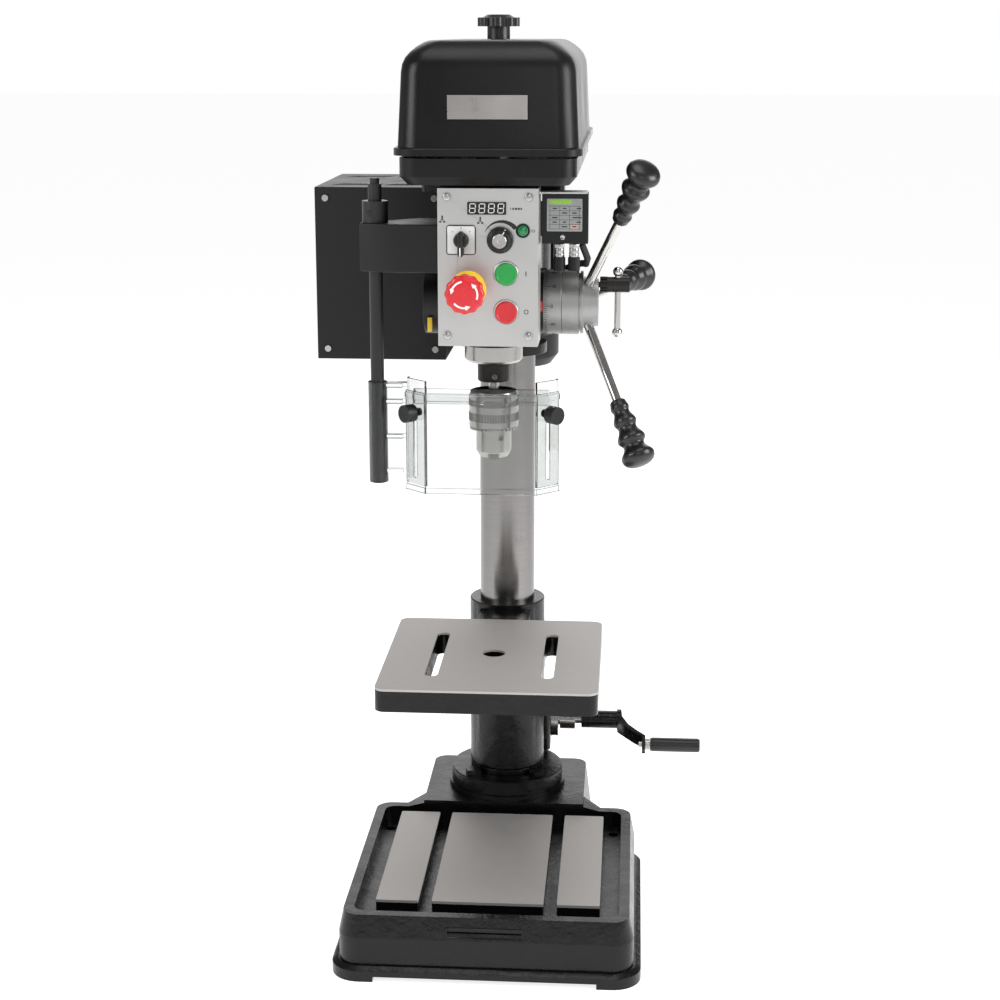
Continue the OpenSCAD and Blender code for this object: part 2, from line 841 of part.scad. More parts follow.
// Clear moulding fixed to the rod: socket, ribbed arm and the two flanges that carry the shield
module guard_frame() {
  color("#dfe6ea", 0.4)
    difference() {
      union() {
        zcyl(521, 628, rod_d / 2 + 3, rod_x, rod_y);
        box(rod_x + 5, flange_left + 2, rod_y - 0.3, rod_y + 2.7, 521, 628);
        for (z = [531, 568, 605, 622]) {
          box(rod_x + 8, shield_left - shield_wing - 2.8, rod_y - 5, rod_y + 5, z, z + 4);
          box(rod_x + 8, flange_left + 1, rod_y - 0.3, rod_y + 5, z, z + 4);
        }
        box(flange_left, flange_left + 2.8, guard_y + 24.5, rod_y + 8, 521, 632);
        box(flange_right - 2.8, flange_right, guard_y + 24.5, rod_y + 6, 521, 632);
        box(shield_left - 13.2, shield_right + 12.6, guard_y + 17.5, guard_y + 20, 606, 622);
        translate([shield_right - 0.8, guard_y + 4.8, 0]) rotate(45) box(0, 29, -1.4, 1.4, 521, 632);
        translate([shield_left + 0.8, guard_y + 4.8, 0]) rotate(135) box(0, 29, -1.4, 1.4, 521, 632);
      }
      zcyl(500, 640, rod_d / 2, rod_x, rod_y);
      for (s = [-1, 1]) knob_axis(s) cylinder(r = 2.2 + run, h = 40, center = true);
    }
}

function knob_x(s) = s > 0 ? shield_right + knob_in : shield_left - knob_in;

// Outward axis of a shield knob, its origin on the side panel's outer face
module knob_axis(s) {
  translate([knob_x(s), guard_y + knob_in, 598])
    rotate([0, 0, s * 45])
      rotate([90, 0, 0])
        children();
}

module shield_outline(t, o) {
  left = shield_left - shield_wing;
  right = shield_right + shield_wing;
  back = guard_y + shield_wing;
  polygon([
    [left - o * 0.72, back - o * 0.72], [shield_left - o * 0.42, guard_y - o],
    [shield_right + o * 0.42, guard_y - o], [right + o * 0.72, back - o * 0.72],
    [right - t * 0.72, back + t * 0.72], [shield_right - t * 0.42, guard_y + t],
    [shield_left + t * 0.42, guard_y + t], [left + t * 0.72, back + t * 0.72]
  ]);
}

module guard_shield() {
  color("#dfe6ea", 0.35)
    difference() {
      union() {
        translate([0, 0, guard_z0]) linear_extrude(guard_z1 - guard_z0) shield_outline(2.2, 0);
        translate([0, 0, guard_z0]) linear_extrude(6) shield_outline(2.2, 1.4);
        translate([0, 0, guard_z1 - 8]) linear_extrude(6) shield_outline(2.2, 1);
      }
      for (s = [-1, 1]) translate([knob_x(s), guard_y + knob_in, 0]) rotate(s * 45) guard_slot();
    }
}

module guard_slot() {
  rotate([90, 0, 0])
    translate([0, 0, -8])
      linear_extrude(16)
        rrect(-2.6, 2.6, 528, 603, 2.55);
}

module guard_knob(s) {
  color("#151517")
    knob_axis(s) {
      translate([0, 0, 2.6]) cylinder(r = 9.2, h = 12);
      translate([0, 0, gap]) cylinder(r = 6, h = 2.4);
      translate([0, 0, -6]) cylinder(r = 2.2, h = 10);
      translate([0, 0, -9.2]) cylinder(r = 4.2, h = 3.4);
    }
}

module guard_knob_left() {
  guard_knob(-1);
}

module guard_knob_right() {
  guard_knob(1);
}

// ---------- quill and spindle ----------
module quill() {
  color("#a9a8a6")
    difference() {
      zcyl(arbor_z + 22, quill_z1, quill_r, 0, sy);
      zcyl(600, 840, spindle_d / 2 + 2, 0, sy);
      zcyl(600, 664.3, bearing_r + run, 0, sy);
      zcyl(791.7, 840, bearing_r + run, 0, sy);
      rack_cut();
    }
}

// Teeth milled into the back of the quill
module rack_cut() {
  count = ceil((quill_stroke + 84) / (PI * feed_m));
  z0 = feed_z - 19.5 * PI * feed_m + 24;
  difference() {
    box(-10.4, 10.4, quill_pitch_y - 4, sy + quill_r + 5, z0, z0 + count * PI * feed_m);
    translate([-11, 0, 0])
      rotate([90, 0, 90])
        linear_extrude(22)
          polygon(rack_points(quill_pitch_y - 6, quill_pitch_y, z0, count, feed_m, feed_add, feed_ded, 0.1));
  }
}

function quill_turn() =
  let (z0 = feed_z - 19.5 * PI * feed_m + 24, zr = (feed_z - z0) / (PI * feed_m) - 0.5,
    off = (round(zr) - zr) * PI * feed_m)
  180 - off / feed_pr * 180 / PI + 180 / feed_teeth;

module spindle() {
  color("#98999b") {
    zcyl(arbor_z, 945, spindle_d / 2, 0, sy);
    zcyl(650, 664, bearing_r, 0, sy);
    zcyl(792, 806, bearing_r, 0, sy);
    zcyl(chuck_top - 24, arbor_z + 1, 5.4, 0, sy);
  }
}

module ejector_collar() {
  color("#2c2c2e")
    difference() {
      union() {
        zcyl(arbor_z + 1, arbor_z + 18, 17, 0, sy);
        zcone(arbor_z, arbor_z + 1, 16, 17, 0, sy);
      }
      zcyl(600, 700, spindle_d / 2, 0, sy);
      ycyl(sy - 20, sy - 12, 2.4, 0, 629);
    }
}

jaw_tilt = 14;
jaw_r = 4.5;
jaw_start = 1.2;

module jaw_axis(i, out, extra) {
  translate([0, sy, 0])
    rotate([0, 0, 30 + 120 * i])
      translate([jaw_start, 0, chuck_nose - 7])
        rotate([0, jaw_tilt, 0])
          translate([0, 0, extra > 0 ? -20 : 0])
            cylinder(r = out, h = 40 + extra);
}

module chuck_body() {
  color("#b0afad")
    difference() {
      union() {
        zcyl(549.4, 590, 18.7, 0, sy);
        zcone(chuck_nose, 549.4, 15, 18.7, 0, sy);
        zcyl(589, 606, 16, 0, sy);
        zcyl(605.6, 609, 22, 0, sy);
      }
      zcyl(500, 556, 5.6, 0, sy);
      zcyl(chuck_top - 24, 620, 5.4, 0, sy);
      for (i = [0:2]) jaw_axis(i, jaw_r + run, 48);
      for (a = [0:120:240]) translate([0, sy, 565]) rotate([90, 0, 28 + a]) translate([0, 0, 14]) cylinder(r = 3.1, h = 9);
    }
}

module chuck_sleeve() {
  color("#b4b3b1")
    difference() {
      union() {
        zcyl(576, 609, 26.1, 0, sy);
        zcone(609, chuck_top, 26.1, 24.6, 0, sy);
        for (k = [0:35]) translate([0, sy, 0]) rotate(k * 10) box(18.9, 25.6, -0.95, 0.95, 572.5, 577);
      }
      zcyl(560, 605.3, 18.7 + gap, 0, sy);
      zcyl(580, 605.3, 23.4, 0, sy);
      zcyl(605, 612, 22 + gap, 0, sy);
      zcone(609, chuck_top + 0.1, 20, 24, 0, sy);
      zcyl(605, 620, 12, 0, sy);
    }
}

module jaw(i) {
  color("#8f8e8c")
    intersection() {
      difference() {
        jaw_axis(i, jaw_r, 0);
        zcyl(500, 620, 1.6, 0, sy);
      }
      translate([0, sy, 0]) rotate([0, 0, 30 + 120 * i]) translate([0, 0, chuck_nose - 4]) jaw_wedge();
    }
}

module jaw_wedge() {
  linear_extrude(60) polygon([[0.4, 0], [30, -51], [30, 51]]);
}

module jaw_1() {
  jaw(0);
}

module jaw_2() {
  jaw(1);
}

module jaw_3() {
  jaw(2);
}

// ---------- feed hub ----------
module pointer_ring() {
  color("#141416") {
    difference() {
      xcyl(head_half_w, 50.8, ring_d / 2 - 1, feed_y, feed_z);
      xcyl(head_half_w - 1, 55, 12, feed_y, feed_z);
    }
    box(head_half_w + 0.5, 51, feed_y - ring_d / 2 - 1.6, feed_y - ring_d / 2 + 3, feed_z - 6, feed_z + 6);
  }
}

module scale_ring() {
  color("#9fa2a5")
    difference() {
      xcyl(51.2, 70.8, ring_d / 2, feed_y, feed_z);
      xcyl(50, 72, 12 + run, feed_y, feed_z);
    }
}

module feed_hub() {
  color("#a2a5a8")
    difference() {
      union() {
        xcyl(-77, 60, 9, feed_y, feed_z);
        xcyl(51.4, 74, 12, feed_y, feed_z);
        x_gear(-9.6, 9.6, feed_y, feed_z, feed_pr, feed_teeth, 1.4, 1.9, 0.1, quill_turn());
        xcyl(71.2, 88.4, ring_d / 2, feed_y, feed_z);
        xcyl(88, 90.5, ring_d / 2 - 3, feed_y, feed_z);
        xcyl(90.3, 93, 33.2, feed_y, feed_z);
        translate([93, feed_y, feed_z]) rotate([0, 90, 0]) cylinder(r1 = 27.6, r2 = 25, h = 16);
      }
      xcyl(103, 112, 3 + run, feed_y, feed_z + 19);
      for (k = [0:2]) lever_place(k) translate([0, 0, 10]) cylinder(r = lever_d / 2, h = 30);
    }
}

lever_x = 89;
lever_tilt = 21;
lever_first = 57;

module lever_place(k) {
  translate([lever_x, feed_y, feed_z])
    rotate([90 - lever_first + 120 * k, 0, 0])
      rotate([0, lever_tilt, 0])
        children();
}

module feed_levers() {
  color("#b6b4b2")
    for (k = [0:2]) lever_place(k) translate([0, 0, 10]) cylinder(r = lever_d / 2, h = 120);
}

module lever_grips() {
  color("#19191b")
    for (k = [0:2]) lever_place(k)
      difference() {
        rotate_extrude() grip_profile();
        translate([0, 0, 108]) cylinder(r = lever_d / 2, h = 22);
      }
}

module grip_profile() {
  polygon([
    [0, 116.7], [7.2, 116.7], [8.4, 118.6], [10, 125.2], [8.6, 130], [8.8, 132.8], [12.2, 141.3], [10, 148],
    [10.4, 150.8], [14.8, 161.2], [11.4, 167.9], [12, 170.7], [17.6, 179.3], [17.8, 183.1], [15.8, 187.3],
    [10, 190.2], [0, 191.1]
  ]);
}

module chuck_key() {
  color("#232324")
    difference() {
      union() {
        xcyl(104, 111, 3, feed_y, feed_z + 19);
        xcyl(110.6, 142, 7.2, feed_y, feed_z + 19);
        xcyl(118, 142, 8.2, feed_y, feed_z + 19);
        for (k = [0:11]) translate([110.6, feed_y, feed_z + 19]) rotate([k * 30, 0, 0]) box(0, 8, 5, 8.4, -1.2, 1.2);
      }
      translate([129.5, feed_y, feed_z]) cylinder(r = 3.2 + run, h = 40);
    }
}

module key_bar() {
  color("#c2c1bf") {
    zcyl(feed_z - 32, feed_z + 32.8, 3.2, 129.5, feed_y);
    for (z = [feed_z - 32, feed_z + 32.8]) translate([129.5, feed_y, z]) sphere(r = 5.4);
  }
}

// ---------- readout ----------
module readout() {
  color("#17171a") {
    box(readout_x, readout_x + 47, readout_y, readout_y + 22, 772.5, 824);
    box(panel_half_w, readout_x + 0.5, readout_y + 1, readout_y + 6, 780, 815);
    for (x = [readout_x + 17.5, readout_x + 32.5]) {
      zcyl(757, 773, 4.6, x, readout_y + 12);
      zcyl(744, 757.5, 6.2, x, readout_y + 12);
    }
  }
}

// Short cable from the readout over the back of the feed hub to a gland on the head
module sensor_cable() {
  path = [[readout_x + 41, readout_y + 18, 768.9], [readout_x + 43.5, readout_y + 23, 762],
    [readout_x + 46, feed_y - 40, feed_z + 51], [readout_x + 44, feed_y - 20, feed_z + 43],
    [readout_x + 39, feed_y + 4, feed_z + 41], [readout_x + 32, feed_y + 25, feed_z + 36],
    [readout_x + 12, feed_y + 37, feed_z + 29], [head_half_w + 4, feed_y + 34, feed_z + 26]];
  color("#141416") {
    for (i = [0:len(path) - 2])
      hull()
        for (p = [path[i], path[i + 1]]) translate(p) sphere(r = 3.5, $fn = 24);
    xcyl(head_half_w, head_half_w + 6, 6, feed_y + 34, feed_z + 26);
  }
}

base_casting();
base_pads();
column_flange();
column();
rack();
rack_rings();
table_bracket();
table_casting();
table_face();
table_lock();
crank_shaft();
crank_arm();
crank_grip();
head_casting();
quill_nose();
head_screws();
motor();
motor_pulley();
spindle_pulley();
belt();
hood_tray();
hood();
hood_badge();
star_knob();
panel_box();
panel_trim();
display();
selector_knob();
speed_knob();
start_button();
stop_button();
estop_base();
estop_stem();
estop_head();
control_box();
control_box_fittings();
spring_housing();
guard_bracket();
guard_rod();
guard_frame();
guard_shield();
guard_knob_left();
guard_knob_right();
quill();
spindle();
ejector_collar();
chuck_body();
chuck_sleeve();
jaw_1();
jaw_2();
jaw_3();
pointer_ring();
scale_ring();
feed_hub();
feed_levers();
lever_grips();
chuck_key();
key_bar();
readout();
sensor_cable();
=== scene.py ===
"""Looks of a bench drill press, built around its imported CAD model."""

import logging
import math
from dataclasses import dataclass, field
from enum import Enum

import bpy
from mathutils import Matrix, Vector


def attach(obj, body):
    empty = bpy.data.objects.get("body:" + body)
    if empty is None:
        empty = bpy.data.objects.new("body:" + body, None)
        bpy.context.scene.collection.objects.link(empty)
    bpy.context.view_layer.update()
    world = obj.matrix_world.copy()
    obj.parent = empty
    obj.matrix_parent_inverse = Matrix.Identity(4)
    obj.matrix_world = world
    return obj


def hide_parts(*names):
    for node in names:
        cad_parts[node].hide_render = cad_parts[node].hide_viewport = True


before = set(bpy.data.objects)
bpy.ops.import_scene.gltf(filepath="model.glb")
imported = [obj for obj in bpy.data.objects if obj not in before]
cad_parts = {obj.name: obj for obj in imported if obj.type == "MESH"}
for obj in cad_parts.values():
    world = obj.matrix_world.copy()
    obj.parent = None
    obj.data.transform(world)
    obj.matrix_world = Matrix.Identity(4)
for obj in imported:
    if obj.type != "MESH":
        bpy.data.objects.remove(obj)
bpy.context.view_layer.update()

LOG = logging.getLogger("drill_press")
MM = 0.001

Tree = bpy.types.NodeTree
Node = bpy.types.Node
Socket = bpy.types.NodeSocket
Piece = bpy.types.Object
Span = tuple[float, float]
Point = tuple[float, float, float]

# ---------------------------------------------------------------- materials
# Noise values lie mostly between these two
NOISE_LOW, NOISE_HIGH = 0.3, 0.7
SMOOTHEST = 0.02
COAT_ROUGH = 0.12


def linear(code: str) -> tuple[float, float, float, float]:
    """Turn an sRGB hex colour to linear light.

    Args:
        code: Colour as "#rrggbb".

    Returns:
        Red, green, blue and alpha for a shader socket.
    """
    parts = [int(code[i:i + 2], 16) / 255 for i in (1, 3, 5)]
    return tuple(c / 12.92 if c <= 0.04045 else ((c + 0.055) / 1.055) ** 2.4 for c in parts) + (1.0,)


def add(tree: Tree, kind: str, links: dict | None = None, **settings: object) -> Node:
    """Add one node with its settings and links.

    Args:
        tree: Node tree that takes the node.
        kind: Node type without its "ShaderNode" prefix.
        links: Socket name or number to a value or to another node's output.
        settings: Properties of the node itself.

    Returns:
        The new node.
    """
    node = tree.nodes.new("ShaderNode" + kind)
    for key, value in settings.items():
        setattr(node, key, value)
    for socket, value in (links or {}).items():
        target = node.inputs[socket]
        if isinstance(value, Socket):
            tree.links.new(value, target)
        else:
            target.default_value = value
    return node


@dataclass(frozen=True)
class Finish:
    """A surface: its base values, and the pattern that its making leaves.

    Attributes:
        name: Real material and how it was made.
        tone: Main colour, sRGB hex.
        second: Colour that it drifts to, sRGB hex.
        rough: Roughness.
        metallic: 1 for bare metal.
        ior: Index of refraction, left alone for metals.
        grain: Pattern size in millimetres along X, Y and Z.
        depth: Height of the pattern in millimetres.
        vary: How far the roughness drifts either way.
        coat: Weight of a clear coat.
        shine: Strength of the mirror layer of paint and plastic.
        drift: Slow changes of roughness to a metre.
    """

    name: str
    tone: str
    second: str
    rough: float
    metallic: float = 0.0
    ior: float = 1.5
    grain: Point = (1.0, 1.0, 1.0)
    depth: float = 0.02
    vary: float = 0.05
    coat: float = 0.0
    shine: float = 0.5
    drift: float = 28.0

    def build(self) -> bpy.types.Material:
        """Make the material from nodes.

        Returns:
            The finished material.
        """
        material = bpy.data.materials.new(self.name)
        material.use_nodes = True
        tree = material.node_tree
        tree.nodes.clear()
        shader = add(tree, "BsdfPrincipled", {
            "Base Color": linear(self.tone), "Roughness": self.rough, "Metallic": self.metallic,
            "Coat Weight": self.coat, "Coat Roughness": COAT_ROUGH})
        if not self.metallic:
            shader.inputs["IOR"].default_value = self.ior
            shader.inputs["Specular IOR Level"].default_value = self.shine
        add(tree, "OutputMaterial", {"Surface": shader.outputs[0]})
        place = add(tree, "TexCoord").outputs["Object"]
        rate = tuple(1 / (MM * size) for size in self.grain)
        scaled = add(tree, "Mapping", {"Vector": place, "Scale": rate})
        self.pattern(tree, shader, scaled.outputs[0], place)
        return material

    def pattern(self, tree: Tree, shader: Node, grain: Socket, place: Socket) -> None:
        """Link the even, slightly drifting surface that most makings leave.

        Args:
            tree: Node tree of the material.
            shader: Its Principled shader.
            grain: Coordinates in units of the grain.
            place: Coordinates in metres.
        """
        fine = add(tree, "TexNoise", {"Vector": grain, "Scale": 1.0, "Detail": 3.0, "Roughness": 0.6})
        drift = add(tree, "TexNoise", {"Vector": place, "Scale": self.drift, "Detail": 2.0})
        self.finish_links(tree, shader, fine.outputs["Fac"], drift.outputs["Fac"], fine.outputs["Fac"])

    def finish_links(self, tree: Tree, shader: Node, tint: Socket, drift: Socket, height: Socket) -> None:
        """Drive colour, roughness and bump from three patterns.

        Args:
            tree: Node tree of the material.
            shader: Its Principled shader.
            tint: Pattern that mixes the two colours.
            drift: Pattern that moves the roughness.
            height: Pattern of the relief.
        """
        tones = {0: tint, 6: linear(self.tone), 7: linear(self.second)}
        colour = add(tree, "Mix", tones, data_type="RGBA")
        tree.links.new(colour.outputs[2], shader.inputs["Base Color"])
        rough = add(tree, "MapRange", {
            "Value": drift, "From Min": NOISE_LOW, "From Max": NOISE_HIGH,
            "To Min": max(SMOOTHEST, self.rough - self.vary), "To Max": self.rough + self.vary})
        tree.links.new(rough.outputs[0], shader.inputs["Roughness"])
        relief = add(tree, "Bump", {"Height": height, "Strength": 1.0, "Distance": self.depth * MM})
        tree.links.new(relief.outputs[0], shader.inputs["Normal"])


@dataclass(frozen=True)
class CastEnamel(Finish):
    """Gloss enamel over a sand casting: rolling waves with finer lumps on them.

    Attributes:
        wave_rate: Waves to each lump.
        wave_share: Height of the waves against the lumps.
    """

    drift: float = 35.0
    wave_rate: float = 0.28
    wave_share: float = 1.8

    def pattern(self, tree: Tree, shader: Node, grain: Socket, place: Socket) -> None:
        """Link slow waves and fine lumps; the arguments are those of Finish.pattern.

        Args:
            tree: Node tree of the material.
            shader: Its Principled shader.
            grain: Coordinates in units of the grain.
            place: Coordinates in metres.
        """
        wave = add(tree, "TexNoise", {"Vector": grain, "Scale": self.wave_rate, "Detail": 2.0})
        lumps = add(tree, "TexNoise", {"Vector": grain, "Scale": 1.0, "Detail": 4.0, "Roughness": 0.62})
        skin = {0: wave.outputs["Fac"], 1: self.wave_share, 2: lumps.outputs["Fac"]}
        both = add(tree, "Math", skin, operation="MULTIPLY_ADD")
        drift = add(tree, "TexNoise", {"Vector": place, "Scale": self.drift, "Detail": 3.0})
        self.finish_links(tree, shader, lumps.outputs["Fac"], drift.outputs["Fac"], both.outputs[0])


@dataclass(frozen=True)
class LeatherGrain(Finish):
    """Structured paint: small rounded cells, as on pressed covers.

    Attributes:
        speck_rate: Specks to each cell.
        speck_share: Height of the specks against the cells.
    """

    drift: float = 14.0
    speck_rate: float = 2.2
    speck_share: float = 0.5

    def pattern(self, tree: Tree, shader: Node, grain: Socket, place: Socket) -> None:
        """Link a cell pattern with specks on it.

        Args:
            tree: Node tree of the material.
            shader: Its Principled shader.
            grain: Coordinates in units of the grain.
            place: Coordinates in metres.
        """
        round_cells = {"Vector": grain, "Scale": 1.0, "Smoothness": 0.6}
        cells = add(tree, "TexVoronoi", round_cells, feature="SMOOTH_F1")
        speck = add(tree, "TexNoise", {"Vector": grain, "Scale": self.speck_rate, "Detail": 2.0})
        skin = {0: speck.outputs["Fac"], 1: self.speck_share, 2: cells.outputs["Distance"]}
        both = add(tree, "Math", skin, operation="MULTIPLY_ADD")
        drift = add(tree, "TexNoise", {"Vector": place, "Scale": self.drift, "Detail": 2.0})
        self.finish_links(tree, shader, speck.outputs["Fac"], drift.outputs["Fac"], both.outputs[0])


@dataclass(frozen=True)
class Machined(Finish):
    """Bare metal cut, ground or brushed: long thin lines with a cloudy sheen over them.

    Attributes:
        drift: Clouds to a metre.
        cloud_mix: Share of the clouds in the colour, the rest being lines.
    """

    drift: float = 22.0
    cloud_mix: float = 0.45

    def pattern(self, tree: Tree, shader: Node, grain: Socket, place: Socket) -> None:
        """Link tool lines and clouds.

        Args:
            tree: Node tree of the material.
            shader: Its Principled shader.
            grain: Coordinates in units of the grain.
            place: Coordinates in metres.
        """
        lines = add(tree, "TexNoise", {"Vector": grain, "Scale": 1.0, "Detail": 5.0, "Roughness": 0.7})
        clouds = add(tree, "TexNoise", {
            "Vector": place, "Scale": self.drift, "Detail": 6.0, "Roughness": 0.7})
        tint = add(tree, "Mix", {0: self.cloud_mix, 2: lines.outputs["Fac"], 3: clouds.outputs["Fac"]})
        self.finish_links(tree, shader, tint.outputs[0], clouds.outputs["Fac"], lines.outputs["Fac"])


@dataclass(frozen=True)
class Clear(Finish):
    """Clear moulding: light passes, fine scuffs on the faces."""

    drift: float = 30.0

    def pattern(self, tree: Tree, shader: Node, grain: Socket, place: Socket) -> None:
        """Let light through and link faint scuffs.

        Args:
            tree: Node tree of the material.
            shader: Its Principled shader.
            grain: Coordinates in units of the grain.
            place: Coordinates in metres.
        """
        shader.inputs["Transmission Weight"].default_value = 1.0
        haze = add(tree, "TexNoise", {"Vector": grain, "Scale": 1.0, "Detail": 3.0})
        wave = add(tree, "TexNoise", {"Vector": place, "Scale": self.drift, "Detail": 1.0})
        self.finish_links(tree, shader, haze.outputs["Fac"], wave.outputs["Fac"], haze.outputs["Fac"])


class Kind(Enum):
    """Every finish on the machine.

    Tool lines of ground, turned and brushed metal are really a tenth of a millimetre or less, which
    is too fine to show, so they are drawn from a third of a millimetre to a millimetre apart.
    """

    # Grey iron, sand cast and enamelled: wet-looking black with a rolling, lumpy skin
    CAST_ENAMEL = CastEnamel("enamelled_cast_iron", "#070708", "#0d0d0e", 0.27, grain=(4.2, 4.2, 4.2),
                             depth=0.42, vary=0.07, coat=0.06, shine=0.27)
    # Steel sheet, structure painted: small cells that break each highlight into grains
    COVER = LeatherGrain("structure_painted_sheet", "#08080a", "#0f0f11", 0.36, grain=(1.5, 1.5, 1.5),
                         depth=0.09, coat=0.03, shine=0.28)
    # Steel sheet, powder coated: satin and even, with a soft orange peel
    POWDER = Finish("powder_coated_sheet", "#0c0c0d", "#131315", 0.46, grain=(1.3, 1.3, 1.3),
                    depth=0.035, shine=0.36)
    # Grey iron, ground flat: pale, cloudy and softly dull, its lines running back to front
    GROUND = Machined("ground_cast_iron", "#b2aeab", "#c8c5c2", 0.62, 0.75, grain=(1.1, 26.0, 1.1),
                      depth=0.012, vary=0.03, drift=60.0, cloud_mix=0.62)
    # Steel tube, centreless ground: fine rings with a clean vertical shine
    COLUMN = Machined("ground_steel_tube", "#737170", "#979593", 0.24, 1.0, grain=(30.0, 30.0, 0.8),
                      depth=0.01, drift=30.0, cloud_mix=0.15)
    # Steel, turned: bright rings round the axis
    TURNED = Machined("turned_steel", "#9d9b98", "#c4c2bf", 0.22, 1.0, grain=(14.0, 14.0, 0.5),
                      depth=0.008, cloud_mix=0.15)
    # Steel, turned about the cross shaft
    TURNED_X = Machined("cross_turned_steel", "#a09e9b", "#cfcdca", 0.26, 1.0, grain=(0.5, 14.0, 14.0),
                        depth=0.012)
    # Steel bar, milled and oiled: darker, with coarse cutter lines
    MILLED = Machined("milled_steel", "#5d5c5b", "#83817f", 0.38, 1.0, grain=(5.0, 5.0, 0.9))
    # Steel, chemically blackened: deep grey with a dull metal sheen
    BLACKENED = Machined("blackened_steel", "#262524", "#3b3936", 0.42, 0.85, grain=(2.0, 2.0, 8.0),
                         depth=0.012)
    # Steel bar, painted black: even and slightly worn
    BLACK_BAR = Finish("black_painted_bar", "#101011", "#1d1d1e", 0.38, grain=(2.0, 2.0, 6.0))
    # Steel screws, zinc plated: pale and softly bright
    ZINC = Machined("zinc_plated_steel", "#a3a3a2", "#cdcdcb", 0.28, 1.0, grain=(2.0, 2.0, 2.0),
                    depth=0.008)
    # Steel screws, black oxide: dark, with a dull metal glint on the edges
    BLACK_SCREW = Machined("black_oxide_screw", "#1b1b1b", "#2e2d2c", 0.36, 0.8, grain=(2.0, 2.0, 2.0),
                           depth=0.008)
    # Steel sheet, brushed from side to side: pale with hair-thin lines
    BRUSHED = Machined("brushed_steel_sheet", "#b4b4b3", "#d2d2d0", 0.36, 0.9, grain=(38.0, 38.0, 0.35),
                       depth=0.006, drift=12.0, cloud_mix=0.3)
    # Aluminium, die cast then turned about the cross shaft: grey satin
    ALLOY = Machined("turned_aluminium", "#929292", "#aeaeac", 0.42, 0.9, grain=(0.6, 16.0, 16.0),
                     depth=0.01, drift=40.0, cloud_mix=0.2)
    # Aluminium, cast pulleys turned in the grooves: paler and brighter than the hub
    ALLOY_Z = Machined("turned_aluminium_pulley", "#8c8f92", "#b3b6b8", 0.35, 0.95,
                       grain=(16.0, 16.0, 0.6), depth=0.012)
    # Steel rod, hard chrome plated: mirror with a faint haze
    CHROME = Machined("chrome_plated_rod", "#b9b7b4", "#d8d6d3", 0.13, 1.0, grain=(6.0, 6.0, 6.0),
                      depth=0.004)
    # Phenolic, moulded glossy: deep black with broad waves
    PHENOLIC = Finish("moulded_phenolic", "#060607", "#0b0b0c", 0.36, ior=1.6, grain=(9.0, 9.0, 9.0),
                      depth=0.03, vary=0.04, coat=0.1, shine=0.42)
    # Nylon, moulded with a fine matt texture
    NYLON = Finish("moulded_nylon", "#0c0c0d", "#141415", 0.44, ior=1.53, grain=(0.7, 0.7, 0.7),
                   shine=0.38)
    # Acrylic, cast and tinted: a glossy dark sheet behind the digits
    WINDOW = Finish("tinted_acrylic", "#08080a", "#101013", 0.12, ior=1.49, grain=(6.0, 6.0, 6.0),
                    depth=0.004)
    # Polycarbonate, moulded in colour: glossy and strong, for the buttons and the stop
    GREEN = Finish("green_polycarbonate", "#0b8f38", "#129d42", 0.28, ior=1.58, grain=(5.0, 5.0, 5.0),
                   depth=0.01)
    RED = Finish("red_polycarbonate", "#c91a24", "#d42630", 0.3, ior=1.58, grain=(5.0, 5.0, 5.0),
                 depth=0.01)
    YELLOW = Finish("yellow_polycarbonate", "#eec21a", "#f4cd30", 0.34, ior=1.58, grain=(3.0, 3.0, 3.0),
                    depth=0.01)
    # Polycarbonate, moulded as a ribbed lens: deep green with a wet gloss
    LENS = Finish("green_lens", "#0b6b3a", "#12834a", 0.12, ior=1.58, grain=(1.4, 1.4, 1.4), coat=0.5)
    # Brass bezel, satin chrome plated: bright with a soft edge to each highlight
    SATIN_CHROME = Machined("satin_chrome_bezel", "#c4c4c2", "#dcdcda", 0.3, 1.0, grain=(2.0, 2.0, 2.0),
                            depth=0.004)
    # Aluminium, anodised natural: a pale, even, faintly pearly plate
    PLATE = Finish("anodised_switch_plate", "#d6d6d4", "#e2e2e0", 0.4, depth=0.004)
    # Screen printing ink: flat and dull, with only the mesh of the screen in it
    WHITE = Finish("white_printing_ink", "#e9e9e6", "#f4f4f2", 0.5, grain=(0.5, 0.5, 0.5), depth=0.004)
    BLACK_INK = Finish("black_printing_ink", "#151515", "#202020", 0.5, grain=(0.5, 0.5, 0.5),
                       depth=0.004)
    RED_INK = Finish("red_printing_ink", "#c9262c", "#d83a3a", 0.45, grain=(0.5, 0.5, 0.5), depth=0.004)
    PINK_INK = Finish("pale_red_printing_ink", "#cfa29a", "#d8ada5", 0.45, grain=(0.5, 0.5, 0.5),
                      depth=0.004)
    LIME_INK = Finish("lime_printing_ink", "#8cc63a", "#9bd14c", 0.45, grain=(0.5, 0.5, 0.5),
                      depth=0.004)
    # Polyester film, printed grey and laid over the keys: satin, slightly uneven
    LABEL = Finish("printed_label_film", "#8e9290", "#a3a7a4", 0.4, grain=(1.2, 1.2, 1.2), depth=0.004)
    # Epoxy, cast as the display's segments: milky white, lit or not
    DIGIT = Finish("display_segment", "#d9dad6", "#eeeeea", 0.4, grain=(0.6, 0.6, 0.6), depth=0.003)
    # Polycarbonate, moulded clear: bright edges and faint scuffs
    CLEAR = Clear("clear_polycarbonate", "#dcdedd", "#e4e6e5", 0.02, ior=1.46, grain=(8.0, 8.0, 8.0),
                  depth=0.0004, vary=0.01)
    # Neoprene, extruded for the belt and the cable's sheath: dull black with a fine skin
    RUBBER = Finish("neoprene", "#121212", "#1d1d1d", 0.62, ior=1.52, depth=0.03)
